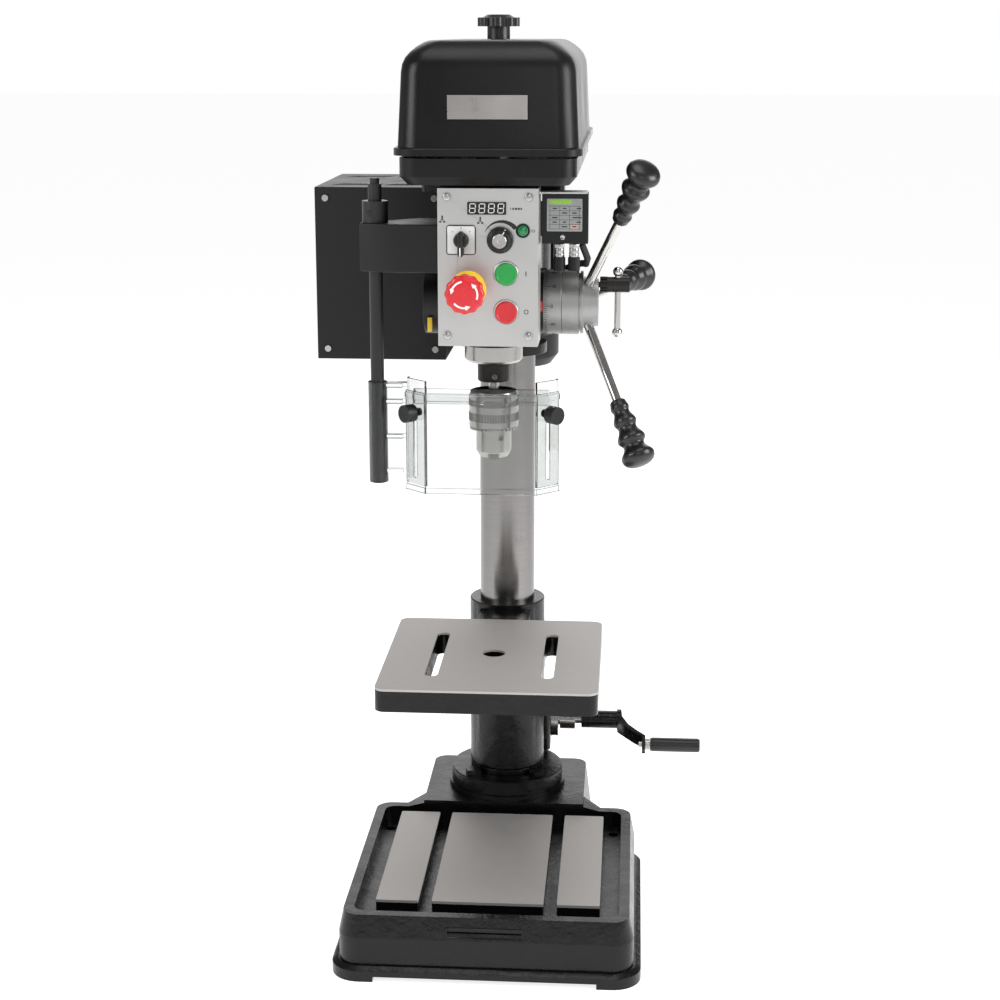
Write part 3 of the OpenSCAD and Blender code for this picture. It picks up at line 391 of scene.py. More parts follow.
    # Aluminium plate, brushed, for the blank badge: fine level lines under a soft shine
    BADGE = Machined("brushed_aluminium_plate", "#a9a6a3", "#c4c0bd", 0.3, 1.0, grain=(30.0, 30.0, 0.4),
                     depth=0.0012, cloud_mix=0.2)


class Paintbox:
    """Builds each finish once and hands it out."""

    def __init__(self) -> None:
        """Start with no material made."""
        self.made: dict[Kind, bpy.types.Material] = {}

    def get(self, kind: Kind) -> bpy.types.Material:
        """Give the material of a finish, making it at first use.

        Args:
            kind: The finish.

        Returns:
            Its material.
        """
        if kind not in self.made:
            self.made[kind] = kind.value.build()
        return self.made[kind]


PAINT = Paintbox()


# ---------------------------------------------------------------- modelling moves
# Smallest side, in metres, that is worth scaling, and the smallest scale of a shrinking cap
TINY = 1e-6
LEAST_SCALE = 1e-4
# Turns +Z to -Y, so that what was modelled facing up faces the front
TO_FRONT = Matrix(((1, 0, 0, 0), (0, 0, -1, 0), (0, 1, 0, 0), (0, 0, 0, 1)))
# Turns +Z to +X
TO_RIGHT = Matrix(((0, 0, 1, 0), (0, 1, 0, 0), (-1, 0, 0, 0), (0, 0, 0, 1)))


def at(x: float, y: float, z: float, turn: Matrix | None = None) -> Matrix:
    """Place in millimetres, after an optional turn."""
    shift = Matrix.Translation((x * MM, y * MM, z * MM))
    return shift @ turn if turn is not None else shift


def spin(degrees: float, axis: str = "Z") -> Matrix:
    """Turn about an axis through the origin."""
    return Matrix.Rotation(math.radians(degrees), 4, axis)


def polar(radius: float, degrees: float) -> Span:
    """Give X and Y of a point on a circle about the origin."""
    return radius * math.cos(math.radians(degrees)), radius * math.sin(math.radians(degrees))


class Bench:
    """Modelling moves. Lengths are in millimetres, and each move is a few operators."""

    @staticmethod
    def clear() -> None:
        """Deselect everything."""
        for thing in bpy.context.selected_objects:
            thing.select_set(False)

    @staticmethod
    def start(name: str) -> Piece:
        """Name the new primitive and enter edit mode on it.

        Args:
            name: Name of the piece.

        Returns:
            The piece, with all of it selected.
        """
        piece = bpy.context.active_object
        piece.name = name
        piece.data.name = name
        bpy.ops.object.transform_apply(location=True, rotation=True, scale=True)
        bpy.ops.object.mode_set(mode="EDIT")
        bpy.ops.mesh.select_mode(type="FACE")
        bpy.ops.mesh.select_all(action="SELECT")
        return piece

    @staticmethod
    def plan(name: str, x: Span, y: Span, z: float, corner: float, segments: int = 8) -> Piece:
        """Lay a flat rectangle with round corners, left in edit mode with its face selected.

        Args:
            name: Name of the piece.
            x: Left and right.
            y: Front and back.
            z: Height.
            corner: Corner radius, 0 for sharp.
            segments: Steps round each corner.

        Returns:
            The piece.
        """
        Bench.clear()
        middle = ((x[0] + x[1]) / 2 * MM, (y[0] + y[1]) / 2 * MM, z * MM)
        bpy.ops.mesh.primitive_plane_add(size=1, location=middle)
        bpy.context.active_object.scale = ((x[1] - x[0]) * MM, (y[1] - y[0]) * MM, 1)
        piece = Bench.start(name)
        if corner:
            bpy.ops.mesh.bevel(affect="VERTICES", offset=corner * MM, segments=segments, profile=0.5)
            bpy.ops.mesh.select_all(action="SELECT")
        return piece

    @staticmethod
    def disc(name: str, centre: Point, radius: float, sides: int = 64) -> Piece:
        """Lay a flat disc facing up, left in edit mode with its face selected.

        Args:
            name: Name of the piece.
            centre: Its middle.
            radius: Its radius.
            sides: Sides round it.

        Returns:
            The piece.
        """
        Bench.clear()
        bpy.ops.mesh.primitive_circle_add(vertices=sides, radius=radius * MM, fill_type="NGON",
                                          location=tuple(c * MM for c in centre))
        return Bench.start(name)

    @staticmethod
    def rise(height: float, inset: float = 0.0) -> None:
        """Extrude the selected cap straight up, then draw its edge in or out.

        Args:
            height: How far up.
            inset: How far the edge goes in; negative goes out.
        """
        bpy.ops.mesh.extrude_region_move(TRANSFORM_OT_translate={"value": (0, 0, height * MM)})
        if inset:
            Bench.draw_in(inset)

    @staticmethod
    def draw_in(inset: float) -> None:
        """Scale the selected cap so that its sides move in by a length.

        Args:
            inset: How far the sides go in; negative goes out.
        """
        mesh = bpy.context.active_object
        mesh.update_from_editmode()
        spots = [v.co for v in mesh.data.vertices if v.select]
        low = [min(s[i] for s in spots) for i in range(3)]
        high = [max(s[i] for s in spots) for i in range(3)]
        size = [high[i] - low[i] for i in range(3)]
        factor = tuple(max(LEAST_SCALE, 1 - 2 * inset * MM / side) if side > TINY else 1.0 for side in size)
        middle = tuple((low[i] + high[i]) / 2 for i in range(3))
        bpy.ops.transform.resize(value=factor, center_override=middle)

    @staticmethod
    def loft(steps: list[Span], height: float) -> None:
        """Raise the selected cap through a list of sections.

        Args:
            steps: Each section's outward offset from the start outline, and its height.
            height: Height of the start outline.
        """
        out = 0.0
        for offset, level in steps:
            Bench.rise(level - height, out - offset)
            out, height = offset, level

    @staticmethod
    def done(piece: Piece, bevel: float = 0.0, segments: int = 2, angle: float = 35.0) -> Piece:
        """Leave edit mode, turn faces outwards, round the edges and smooth.

        Args:
            piece: The closed piece in edit mode.
            bevel: Edge radius, 0 for none.
            segments: Steps over each edge.
            angle: Edges sharper than this are rounded, in degrees.

        Returns:
            The piece.
        """
        bpy.ops.mesh.select_all(action="SELECT")
        bpy.ops.mesh.normals_make_consistent(inside=False)
        bpy.ops.object.mode_set(mode="OBJECT")
        if bevel:
            Bench.bevel(piece, bevel, segments, angle)
            Bench.apply(piece)
        Bench.smooth(piece)
        return piece

    @staticmethod
    def bevel(piece: Piece, width: float, segments: int, angle: float) -> None:
        """Give a piece a Bevel modifier that rounds its edges.

        Args:
            piece: The piece.
            width: Edge radius.
            segments: Steps over each edge.
            angle: Edges sharper than this are rounded, in degrees.
        """
        edge = piece.modifiers.new("edges", "BEVEL")
        edge.width = width * MM
        edge.segments = segments
        edge.limit_method = "ANGLE"
        edge.angle_limit = math.radians(angle)

    @staticmethod
    def apply(piece: Piece) -> None:
        """Apply all modifiers of a piece, in order.

        Args:
            piece: The piece.
        """
        Bench.pick(piece)
        for modifier in list(piece.modifiers):
            bpy.ops.object.modifier_apply(modifier=modifier.name)

    @staticmethod
    def pick(piece: Piece) -> None:
        """Select one piece alone and make it active.

        Args:
            piece: The piece.
        """
        Bench.clear()
        piece.select_set(True)
        bpy.context.view_layer.objects.active = piece

    @staticmethod
    def smooth(piece: Piece, angle: float = 32.0) -> None:
        """Shade a piece smooth where its faces meet below an angle."""
        Bench.pick(piece)
        bpy.ops.object.shade_smooth_by_angle(angle=math.radians(angle))

    @staticmethod
    def place(piece: Piece, matrix: Matrix) -> Piece:
        """Move a piece's mesh, its object staying at the origin.

        Args:
            piece: The piece.
            matrix: Where it goes, in metres.

        Returns:
            The piece.
        """
        piece.data.transform(matrix)
        piece.data.update()
        return piece

    @staticmethod
    def copies(piece: Piece, matrices: list[Matrix]) -> list[Piece]:
        """Copy a piece to each place, each copy with its own mesh, and delete the first one.

        Args:
            piece: The piece that was modelled once.
            matrices: Where the copies go, in metres.

        Returns:
            The copies.
        """
        twins = []
        for matrix in matrices:
            twin = piece.copy()
            twin.data = piece.data.copy()
            bpy.context.scene.collection.objects.link(twin)
            twins.append(Bench.place(twin, matrix))
        bpy.data.objects.remove(piece)
        return twins

    @staticmethod
    def join(name: str, pieces: list[Piece]) -> Piece:
        """Join pieces into one.

        Args:
            name: Name of the result.
            pieces: What is joined.

        Returns:
            The joined piece.
        """
        Bench.pick(pieces[0])
        for piece in pieces[1:]:
            piece.select_set(True)
        bpy.ops.object.join()
        pieces[0].name = name
        pieces[0].data.name = name
        return pieces[0]

    @staticmethod
    def cut(piece: Piece, tools: list[Piece]) -> Piece:
        """Take tool solids away from a piece, and delete them.

        Args:
            piece: What is cut.
            tools: Solids that are taken away.

        Returns:
            The piece.
        """
        for tool in tools:
            cutter = piece.modifiers.new("cut", "BOOLEAN")
            cutter.operation = "DIFFERENCE"
            cutter.solver = "EXACT"
            cutter.object = tool
            Bench.apply(piece)
            bpy.data.objects.remove(tool)
        return piece

    @staticmethod
    def lathe(name: str, outline: list[Span], sides: int = 64, soften: float = 0.0) -> Piece:
        """Turn a profile about Z: a disc drawn through each radius and height.

        Args:
            name: Name of the piece.
            outline: Radius and height of each step, from the axis back to the axis.
            sides: Sides round the axis.
            soften: Edge radius in millimetres.

        Returns:
            The piece.
        """
        radius, height = outline[0]
        piece = Bench.disc(name, (0, 0, height), radius, sides)
        for wide, level in outline[1:]:
            Bench.rise(level - height, radius - wide)
            radius, height = wide, level
        return Bench.done(piece, soften, 2, 40)

    @staticmethod
    def outline(name: str, points: list[Span], thick: float) -> Piece:
        """Raise a flat outline, made from a circle whose corners go to the given points.

        Args:
            name: Name of the piece.
            points: Corners of the outline, in order.
            thick: How far it rises.

        Returns:
            The piece.
        """
        piece = Bench.disc(name, (0, 0, 0), 1.0, len(points))
        bpy.ops.object.mode_set(mode="OBJECT")
        for corner, (x, y) in zip(piece.data.vertices, points):
            corner.co = (x * MM, y * MM, 0)
        bpy.ops.object.mode_set(mode="EDIT")
        bpy.ops.mesh.select_all(action="SELECT")
        Bench.rise(thick)
        return Bench.done(piece)

    @staticmethod
    def tick(wide: float, tall: float, thick: float) -> Piece:
        """Make one small printed bar, centred."""
        x, y = wide / 2, tall / 2
        return Bench.outline("mark", [(-x, -y), (x, -y), (x, y), (-x, y)], thick)

    @staticmethod
    def frame(name: str, wide: float, tall: float, band: float, thick: float, corner: float = 0.8) -> Piece:
        """Make a thin flat frame, centred.

        Args:
            name: Name of the piece.
            wide: Its width.
            tall: Its height.
            band: Width of each side.
            thick: How far it rises.
            corner: Radius of its outer corners.

        Returns:
            The piece.
        """
        x, y = wide / 2, tall / 2
        piece = Bench.bar(name, (-x, x), (-y, y), (0, thick), corner=corner)
        hole = Bench.bar("hole", (-x + band, x - band), (-y + band, y - band), (-1, thick + 1),
                         corner=max(0.0, corner - band))
        return Bench.cut(piece, [hole])

    @staticmethod
    def bar(name: str, x: Span, y: Span, z: Span, edge: float = 0.0, corner: float = 0.0) -> Piece:
        """Make a block from its plan, with rounded edges.

        Args:
            name: Name of the piece.
            x: Left and right.
            y: Front and back.
            z: Bottom and top.
            edge: Radius of all edges.
            corner: Radius of the upright corners.

        Returns:
            The piece.
        """
        piece = Bench.plan(name, x, y, z[0], corner, 6)
        Bench.rise(z[1] - z[0])
        return Bench.done(piece, edge, 2, 40)


class Assembly:
    """A sub-assembly: builds its own pieces, dresses them and hands them to their bodies."""

    def finish(self, piece: Piece, kind: Kind, body: str, slot: str, *stands_for: str) -> Piece:
        """Dress a piece and give it to a body.

        Args:
            piece: The finished mesh object.
            kind: Its finish.
            body: CAD body that it rides on.
            slot: Not used.
            stands_for: CAD nodes that it replaces.

        Returns:
            The piece.
        """
        piece.data.materials.clear()
        piece.data.materials.append(PAINT.get(kind))
        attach(piece, body)
        if stands_for:
            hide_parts(*stands_for)
        LOG.info("%s: %s on %s", piece.name, kind.name, body)
        return piece

    def build(self) -> None:
        """Build every piece; each sub-assembly has its own."""
        raise NotImplementedError


@dataclass
class FrontAssembly(Assembly):
    """A sub-assembly on an upright face that looks to the front.

    Attributes:
        face: Y of that face.
    """

    face: float = 0.0

    def front(self, x: float, z: float, lift: float = 0.0) -> Matrix:
        """Place on the face, what was modelled facing up now facing front."""
        return at(x, self.face - lift, z, TO_FRONT)

    def put(self, piece: Piece, spot: Span, kind: Kind, body: str, slot: str, *stands_for: str) -> Piece:
        """Set a piece on the face and dress it.

        Args:
            piece: The finished mesh object, modelled facing up.
            spot: X and Z on the face.
            kind: Its finish.
            body: CAD body that it rides on.
            slot: Material slot of the record.
            stands_for: CAD nodes that it replaces.

        Returns:
            The piece.
        """
        return self.finish(Bench.place(piece, self.front(*spot)), kind, body, slot, *stands_for)


@dataclass
class CadDressing(Assembly):
    """Finish and edge rounding of the CAD nodes that stay.

    Attributes:
        rows: For each finish, its nodes with their edge radius in millimetres.
        same_spot: Corners closer than this are welded, in metres.
        rounded: Edges sharper than this are rounded, in degrees.
        kept_sharp: Edges sharper than this are shaded sharp, in degrees.
        flatness: How far large faces hold the shading flat, out of 100.
    """

    rows: dict[Kind, dict[str, float]] = field(default_factory=lambda: {
        Kind.CAST_ENAMEL: {
            "base_casting": 1.6, "column_flange": 0.8, "rack_rings": 0.5, "table_bracket": 1.2,
            "table_casting": 0.8, "crank_arm": 0.8, "head_casting": 1.0},
        Kind.GROUND: {"base_pads": 0.4, "table_face": 0.5},
        Kind.COLUMN: {"column": 0.5},
        Kind.TURNED: {
            "quill_nose": 0.3, "quill": 0.2, "spindle": 0.3, "chuck_body": 0.3, "chuck_sleeve": 0.3},
        Kind.TURNED_X: {"crank_shaft": 0.4},
        Kind.MILLED: {"rack": 0.0, "jaw_1": 0.2, "jaw_2": 0.2, "jaw_3": 0.2},
        Kind.BLACKENED: {"ejector_collar": 0.4, "chuck_key": 0.3},
        Kind.BLACK_SCREW: {"table_lock": 0.4, "head_screws": 0.3},
        Kind.BLACK_BAR: {"guard_rod": 0.5},
        Kind.ZINC: {"control_box_fittings": 0.3},
        Kind.CHROME: {"feed_levers": 0.3, "key_bar": 0.0},
        Kind.ALLOY: {"scale_ring": 0.5, "feed_hub": 0.6},
        Kind.ALLOY_Z: {"motor_pulley": 0.3, "spindle_pulley": 0.3},
        Kind.BADGE: {"hood_badge": 0.2},
        Kind.BRUSHED: {"panel_box": 0.6},
        Kind.POWDER: {"motor": 0.4, "control_box": 0.8, "guard_bracket": 1.2, "readout": 0.6},
        Kind.COVER: {"hood_tray": 0.8},
        Kind.PHENOLIC: {"crank_grip": 0.6, "star_knob": 0.8},
        Kind.NYLON: {
            "estop_stem": 0.3, "spring_housing": 0.8, "guard_knob_left": 0.4, "guard_knob_right": 0.4},
        Kind.WINDOW: {"display": 0.3},
        Kind.CLEAR: {"guard_frame": 0.4, "guard_shield": 0.5},
        Kind.RUBBER: {"belt": 0.3, "sensor_cable": 0.0},
    })
    same_spot: float = 2e-6
    rounded: float = 40.0
    kept_sharp: float = 47.0
    flatness: int = 90

    def build(self) -> None:
        """Dress every node of every finish."""
        for kind, nodes in self.rows.items():
            for node, edge in nodes.items():
                self.dress(node, kind, edge)

    def dress(self, node: str, kind: Kind, edge: float) -> None:
        """Give a CAD node its finish, welded smooth shading and rounded edges.

        Args:
            node: Name of the node.
            kind: Its finish.
            edge: Edge radius in millimetres, 0 for none.
        """
        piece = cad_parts[node]
        piece.data.materials.clear()
        piece.data.materials.append(PAINT.get(kind))
        Bench.pick(piece)
        bpy.ops.mesh.customdata_custom_splitnormals_clear()
        for face in piece.data.polygons:
            face.use_smooth = True
        piece.modifiers.new("weld", "WELD").merge_threshold = self.same_spot
        if edge:
            Bench.bevel(piece, edge, 2, self.rounded)
        split = piece.modifiers.new("split", "EDGE_SPLIT")
        split.split_angle = math.radians(self.kept_sharp)
        piece.modifiers.new("flats", "WEIGHTED_NORMAL").weight = self.flatness
        LOG.info("%s: %s", node, kind.name)


@dataclass(frozen=True)
class Softbox:
    """A square area light.

    Attributes:
        name: Name of the light.
        spot: Where it hangs, in metres.
        aim: The point that it faces, in metres.
        size: Length of its side in metres.
        power: Watts.
    """

    name: str
    spot: Point
    aim: Point
    size: float
    power: float

    def hang(self) -> None:
        """Make the light and turn it to its aim."""
        data = bpy.data.lights.new(self.name, "AREA")
        data.size = self.size
        data.energy = self.power
        lamp = bpy.data.objects.new(self.name, data)
        lamp.location = self.spot
        lamp.rotation_euler = (Vector(self.aim) - Vector(self.spot)).to_track_quat("-Z", "Y").to_euler()
        bpy.context.scene.collection.objects.link(lamp)


@dataclass
class Studio:
    """Floor, lights and camera.

    Attributes:
        spot: Camera position in metres.
        tilt: Degrees that the camera looks down.
        turn: Degrees that it looks to the left of straight back.
        lens: Focal length in millimetres.
        sensor: Width of the sensor in millimetres.
        sight: Nearest and farthest that the camera sees, in metres.
        floor_side: Length of the floor's side in metres.
        floor_gap: How far the floor lies below the feet, in metres.
        floor_glow: Strength of the light that the floor gives off.
        sky_light: Strength of the sky as a light.
        sky_seen: Strength of the sky to the camera.
        lamps: The softboxes.
    """

    spot: Point = (0.14503, -2.20726, 0.98115)
    tilt: float = 13.797
    turn: float = 3.995
    lens: float = 68.46
    sensor: float = 36.0
    sight: Span = (0.05, 60.0)
    floor_side: float = 60.0
    floor_gap: float = 0.0002
    floor_glow: float = 0.8
    sky_light: float = 0.22
    sky_seen: float = 1.0
    lamps: tuple[Softbox, ...] = (
        Softbox("key_softbox", (-1.5, -1.3, 1.5), (0, -0.1, 0.6), 0.9, 17.0),
        Softbox("side_softbox", (1.7, -0.7, 1.25), (0, -0.1, 0.6), 0.9, 24.0),
        Softbox("top_softbox", (0.1, -0.5, 2.4), (0, -0.1, 0.5), 1.2, 12.0),
        Softbox("front_softbox", (0.5, -2.9, 1.7), (0, -0.2, 0.5), 1.1, 8.0),
        Softbox("rear_softbox", (0.0, 3.0, 1.7), (0, 0.0, 0.5), 2.6, 30.0))

    def build(self) -> None:
        """Make the floor, the light and the camera."""
        self.floor()
        self.sky()
        for lamp in self.lamps:
            lamp.hang()
        self.camera()

    def floor(self) -> None:
        """Lay a plain pale floor that glows a little, as paper lit from behind."""
        Bench.clear()
        bpy.ops.mesh.primitive_plane_add(size=self.floor_side, location=(0, 0, -self.floor_gap))
        floor = bpy.context.active_object
        floor.name = "studio_floor"
        paper = Finish("seamless_paper", "#e6e6e6", "#e9e9e9", 0.9, grain=(2.0, 2.0, 2.0), depth=0.01,
                       shine=0.0).build()
        shader = next(node for node in paper.node_tree.nodes if node.type == "BSDF_PRINCIPLED")
        shader.inputs["Emission Color"].default_value = linear("#ffffff")
        shader.inputs["Emission Strength"].default_value = self.floor_glow
        floor.data.materials.append(paper)

    def sky(self) -> None:
        """Surround everything with plain white light, softer than what the camera sees."""
        world = bpy.data.worlds.new("studio_sky")
        world.use_nodes = True
        tree = world.node_tree
        tree.nodes.clear()
        seen = add(tree, "LightPath").outputs["Is Camera Ray"]
        strength = add(tree, "MapRange", {"Value": seen, "To Min": self.sky_light, "To Max": self.sky_seen})
        light = add(tree, "Background", {"Color": linear("#ffffff"), "Strength": strength.outputs[0]})
        add(tree, "OutputWorld", {"Surface": light.outputs[0]})
        bpy.context.scene.world = world
        bpy.context.scene.view_settings.view_transform = "Standard"

    def camera(self) -> None:
        """Set up the camera at the front view."""
        data = bpy.data.cameras.new("front_view")
        data.lens = self.lens
        data.sensor_width = self.sensor
        data.clip_start, data.clip_end = self.sight
        camera = bpy.data.objects.new("front_view", data)
        camera.location = self.spot
        camera.rotation_euler = (math.radians(90 - self.tilt), 0, math.radians(self.turn))
        bpy.context.scene.collection.objects.link(camera)
        bpy.context.scene.camera = camera


@dataclass
class Panel(FrontAssembly):
    """Control panel: screws, display digits, switches, buttons and their printed marks.

    Attributes:
        face: Y of the panel's front face.
        screws: X and Z of the corner screws.
        display: X and Z of the display's middle.
        first_digit: X of the first digit.
        digit_pitch: From one digit to the next.
        digits_shown: How many digits there are.
        selector: X and Z of the selector's axis.
        speed: X and Z of the speed knob's axis.
        speed_turn: How far the speed knob's pointer is turned, in degrees.
        lamp: X and Z of the pilot lamp.
        start: X and Z of the start button.
        stop: X and Z of the stop button.
        estop: X and Z of the emergency stop.
        estop_front: Y of the stop head's crown.
        lobes: Grip lobes round the stop head.
        lobe_depth: Swell of each lobe, as a share of the radius.
        lobe_start: Radius where the lobes begin.
        lobe_fade: How far out they take to reach their full swell.
        ink: Thickness of the printed marks.
    """

    face: float = -306.0
    screws: tuple[Span, ...] = ((-41, 823), (41, 823), (-41, 684), (41, 684))
    display: Span = (-1.0, 811.8)
    first_digit: float = -15.2
    digit_pitch: float = 9.45
    digits_shown: int = 4
    selector: Span = (-26.5, 780.0)
    speed: Span = (12.5, 780.5)
    speed_turn: float = -27.0
    lamp: Span = (35.2, 789.8)
    start: Span = (18.3, 746.6)
    stop: Span = (18.4, 708.0)
    estop: Span = (-20.0, 731.0)
    estop_front: float = -351.0
    lobes: int = 12
    lobe_depth: float = 0.03
    lobe_start: float = 15.0
    lobe_fade: float = 3.0
    ink: float = 0.1

    def build(self) -> None:
        """Build everything on the panel."""
        self.corner_screws()
        self.digits()
        self.selector_switch()
        self.speed_dial()
        self.pilot_lamp()
        self.push_button("start_button_cap", self.start, Kind.GREEN, "start", "green_plastic", "start_button")
        self.push_button("stop_button_cap", self.stop, Kind.RED, "stop", "red_plastic", "stop_button")
        self.emergency_stop()
        self.stop_arrows()
        self.printing()

    def corner_screws(self) -> None:
        """Build the cross-head screws on their washers, each stopped at its own turn."""
        first = Bench.lathe("screw", [
            (4.6, 0), (4.6, 0.9), (3.9, 0.9), (3.9, 1.6), (3.4, 2.5), (2.2, 3.0), (0.3, 3.1)], 32)
        half, thin, deep = 2.0, 0.45, (1.6, 4)
        Bench.cut(first, [Bench.bar("slot", (-half, half), (-thin, thin), deep),
                          Bench.bar("slot", (-thin, thin), (-half, half), deep)])
        Bench.smooth(first)
        turns = [self.front(x, z) @ Matrix.Rotation(x * z, 4, "Z") for x, z in self.screws]
        heads = Bench.join("panel_screws", Bench.copies(first, turns))
        self.finish(heads, Kind.ZINC, "base", "trim_metal", "panel_trim")

    def digits(self) -> None:
        """Build four white seven-segment digits, all segments shown, and the display's rim."""
        wide, tall, bar, gap = 5.6, 8.8, 0.75, 0.25
        slant, raised, thick = 0.08, 1.0, 0.12
        x, z = wide / 2, tall / 2
        segments = []
        for across, spots in ((True, ((0, z), (0, 0), (0, -z))),
                              (False, ((-x, z / 2), (x, z / 2), (-x, -z / 2), (x, -z / 2)))):
            reach = (wide if across else z) / 2 - gap
            shape = [(-reach, 0), (-reach + bar / 2, bar / 2), (reach - bar / 2, bar / 2), (reach, 0),
                     (reach - bar / 2, -bar / 2), (-reach + bar / 2, -bar / 2)]
            if not across:
                shape = [(b, a) for a, b in shape]
            segments += [[(a + right, b + up) for a, b in shape] for right, up in spots]
        pieces = []
        for k in range(self.digits_shown):
            spot = self.front(self.first_digit + self.digit_pitch * k, self.display[1], raised)
            for shape in segments:
                leaning = [(a + slant * b, b) for a, b in shape]
                pieces.append(Bench.place(Bench.outline("segment", leaning, thick), spot))
        self.finish(Bench.join("display_digits", pieces), Kind.DIGIT, "base", "display_black")
        rim = Bench.frame("display_rim", 38.8, 12.4, 1.0, 1.5)
        self.put(rim, self.display, Kind.NYLON, "base", "display_black")

    def selector_switch(self) -> None:
        """Build the selector's plate with its printed border and marks, and its pointer knob."""
        x, z = self.selector
        side, off = 14.8, 0.25
        plate = Bench.plan("selector_plate", (-side, side), (-side, side), 0, 2.2)
        Bench.loft([(0, 1.0), (-0.5, 1.5)], 0)
        Bench.done(plate, 0.2)
        self.put(plate, (x - off, z + off), Kind.PLATE, "base", "trim_metal")
        border = Bench.frame("selector_border", 2 * side, 2 * side, 0.9, 1.72, 2.6)
        self.put(border, (x - off, z + off), Kind.BLACK_INK, "base", "knob_black")
        out = Matrix.Translation((12.2 * MM, 0, 0))
        spots = [self.front(x, z, 1.5) @ spin(angle) @ out for angle in (45, 90, 135)]
        marks = Bench.join("selector_marks", Bench.copies(Bench.tick(1.4, 0.6, 0.12), spots))
        self.finish(marks, Kind.BLACK_INK, "base", "knob_black")
        hub = Bench.lathe("selector_hub", [
            (7.8, 1.8), (7.8, 4.6), (7.4, 7.4), (6.9, 9.6), (6.2, 10.4), (0.2, 10.5)], 48, 0.4)
        handle = Bench.plan("handle", (-3.1, 3.1), (-15.6, 9.4), 3.0, 2.9)
        Bench.loft([(0, 12.0), (-0.6, 15.5), (-1.5, 17.0)], 3.0)
        Bench.done(handle, 0.5)
        knob = Bench.join("selector_lever", [hub, handle])
        self.put(knob, self.selector, Kind.NYLON, "selector", "knob_black", "selector_knob")
        line = Bench.bar("selector_pointer", (-0.6, 0.6), (-14.6, -6.0), (17.0, 17.15))
        self.put(line, self.selector, Kind.WHITE, "selector", "knob_black")

    def speed_dial(self) -> None:
        """Build the speed knob: ribbed skirt, collar, bright cap and pointer line."""
        ribs = 48
        skirt = Bench.lathe("speed_skirt", [
            (13.0, 0.4), (13.0, 5.4), (12.2, 6.4), (10.9, 6.8), (10.4, 13.2), (9.6, 14.0), (0.2, 14.0)], 64, 0.3)
        rib = Bench.bar("rib", (12.6, 13.3), (-0.28, 0.28), (0.8, 5.4))
        turns = [spin(360 / ribs * k) for k in range(ribs)]
        knob = Bench.join("speed_grip", [skirt] + Bench.copies(rib, turns))
        self.put(knob, self.speed, Kind.NYLON, "speed", "knob_black", "speed_knob")
        cap = Bench.lathe("speed_cap", [
            (7.0, 13.9), (7.0, 14.4), (6.6, 14.7), (2.2, 14.6), (1.9, 14.35), (0.2, 14.3)], 48)
        self.put(cap, self.speed, Kind.BADGE, "speed", "trim_metal")
        lower = Bench.bar("lower", (-0.45, 0.45), (6.0, 12.4), (6.9, 7.1))
        upper = Bench.bar("upper", (-0.45, 0.45), (6.9, 10.2), (14.0, 14.12))
        line = Bench.place(Bench.join("speed_pointer", [lower, upper]), spin(self.speed_turn))
        self.put(line, self.speed, Kind.WHITE, "speed", "knob_black")

    def pilot_lamp(self) -> None:
        """Build the round lamp: black bezel and a ribbed green lens."""
        bezel = Bench.lathe("lamp_bezel", [
            (7.2, 0), (7.2, 1.2), (6.6, 1.8), (5.9, 1.8), (5.7, 0.9), (0.2, 0.9)], 48, 0.15)
        self.put(bezel, self.lamp, Kind.NYLON, "base", "knob_black")
        lens = Bench.lathe("lamp_lens", [
            (5.5, 0.8), (5.4, 2.0), (4.9, 3.0), (4.1, 3.3), (4.0, 2.9), (3.2, 3.2), (3.1, 2.8), (2.2, 3.1),
            (0.2, 3.3)], 40)
        self.put(lens, self.lamp, Kind.LENS, "base", "green_plastic")

    def push_button(self, name: str, spot: Span, kind: Kind, body: str, slot: str, node: str) -> None:
        """Build one push button and its bezel.

        Args:
            name: Name of the cap.
            spot: X and Z of the centre.
            kind: Finish of the cap.
            body: Body that the cap rides on.
            slot: Material slot of the cap.
            node: CAD node that it replaces.
        """
        cap = Bench.lathe(name, [
            (11.1, -4), (11.1, 3.6), (10.7, 4.4), (9.9, 4.75), (8.9, 4.7), (8.6, 4.45), (0.2, 4.45)])
        self.put(cap, spot, kind, body, slot, node)
        bezel = Bench.lathe(name + "_bezel", [
            (13.2, 0), (13.1, 0.7), (12.6, 2.2), (12.2, 2.7), (11.6, 2.6), (11.5, 0.3), (0.2, 0.3)])
        self.put(bezel, spot, Kind.SATIN_CHROME, "base", "trim_metal")

    def emergency_stop(self) -> None:
        """Build the stop's yellow collar and its lobed mushroom head."""
        collar = Bench.lathe("estop_collar", [
            (18.6, 0), (18.6, 2.4), (18.0, 3.0), (16.6, 3.2), (15.4, 10.0), (14.6, 10.4), (7.6, 10.4),
            (7.5, 2.0), (0.2, 2.0)], 64, 0.3)
        self.put(collar, self.estop, Kind.YELLOW, "base", "yellow_plastic", "estop_base")
        crown = self.face - self.estop_front
        # Radius of each step, and how far below the crown it lies
        dome = ((7.6, 20.6), (14.5, 20.6), (17.2, 17.0), (18.7, 12.4), (19.3, 8.6), (19.4, 3.6), (18.9, 1.9),
                (17.8, 0.8), (15.8, 0.2), (8.0, 0), (0.2, 0))
        head = Bench.lathe("estop_mushroom", [(wide, crown - below) for wide, below in dome], 144)
        for v in head.data.vertices:
            past = Vector((v.co.x, v.co.y)).length / MM - self.lobe_start
            if past > 0:
                wave = math.cos(self.lobes * math.atan2(v.co.y, v.co.x))
                swell = 1 + self.lobe_depth * wave * min(1, past / self.lobe_fade)
                v.co.x *= swell
                v.co.y *= swell
        self.put(head, self.estop, Kind.RED, "stop_head", "red_plastic", "estop_head")

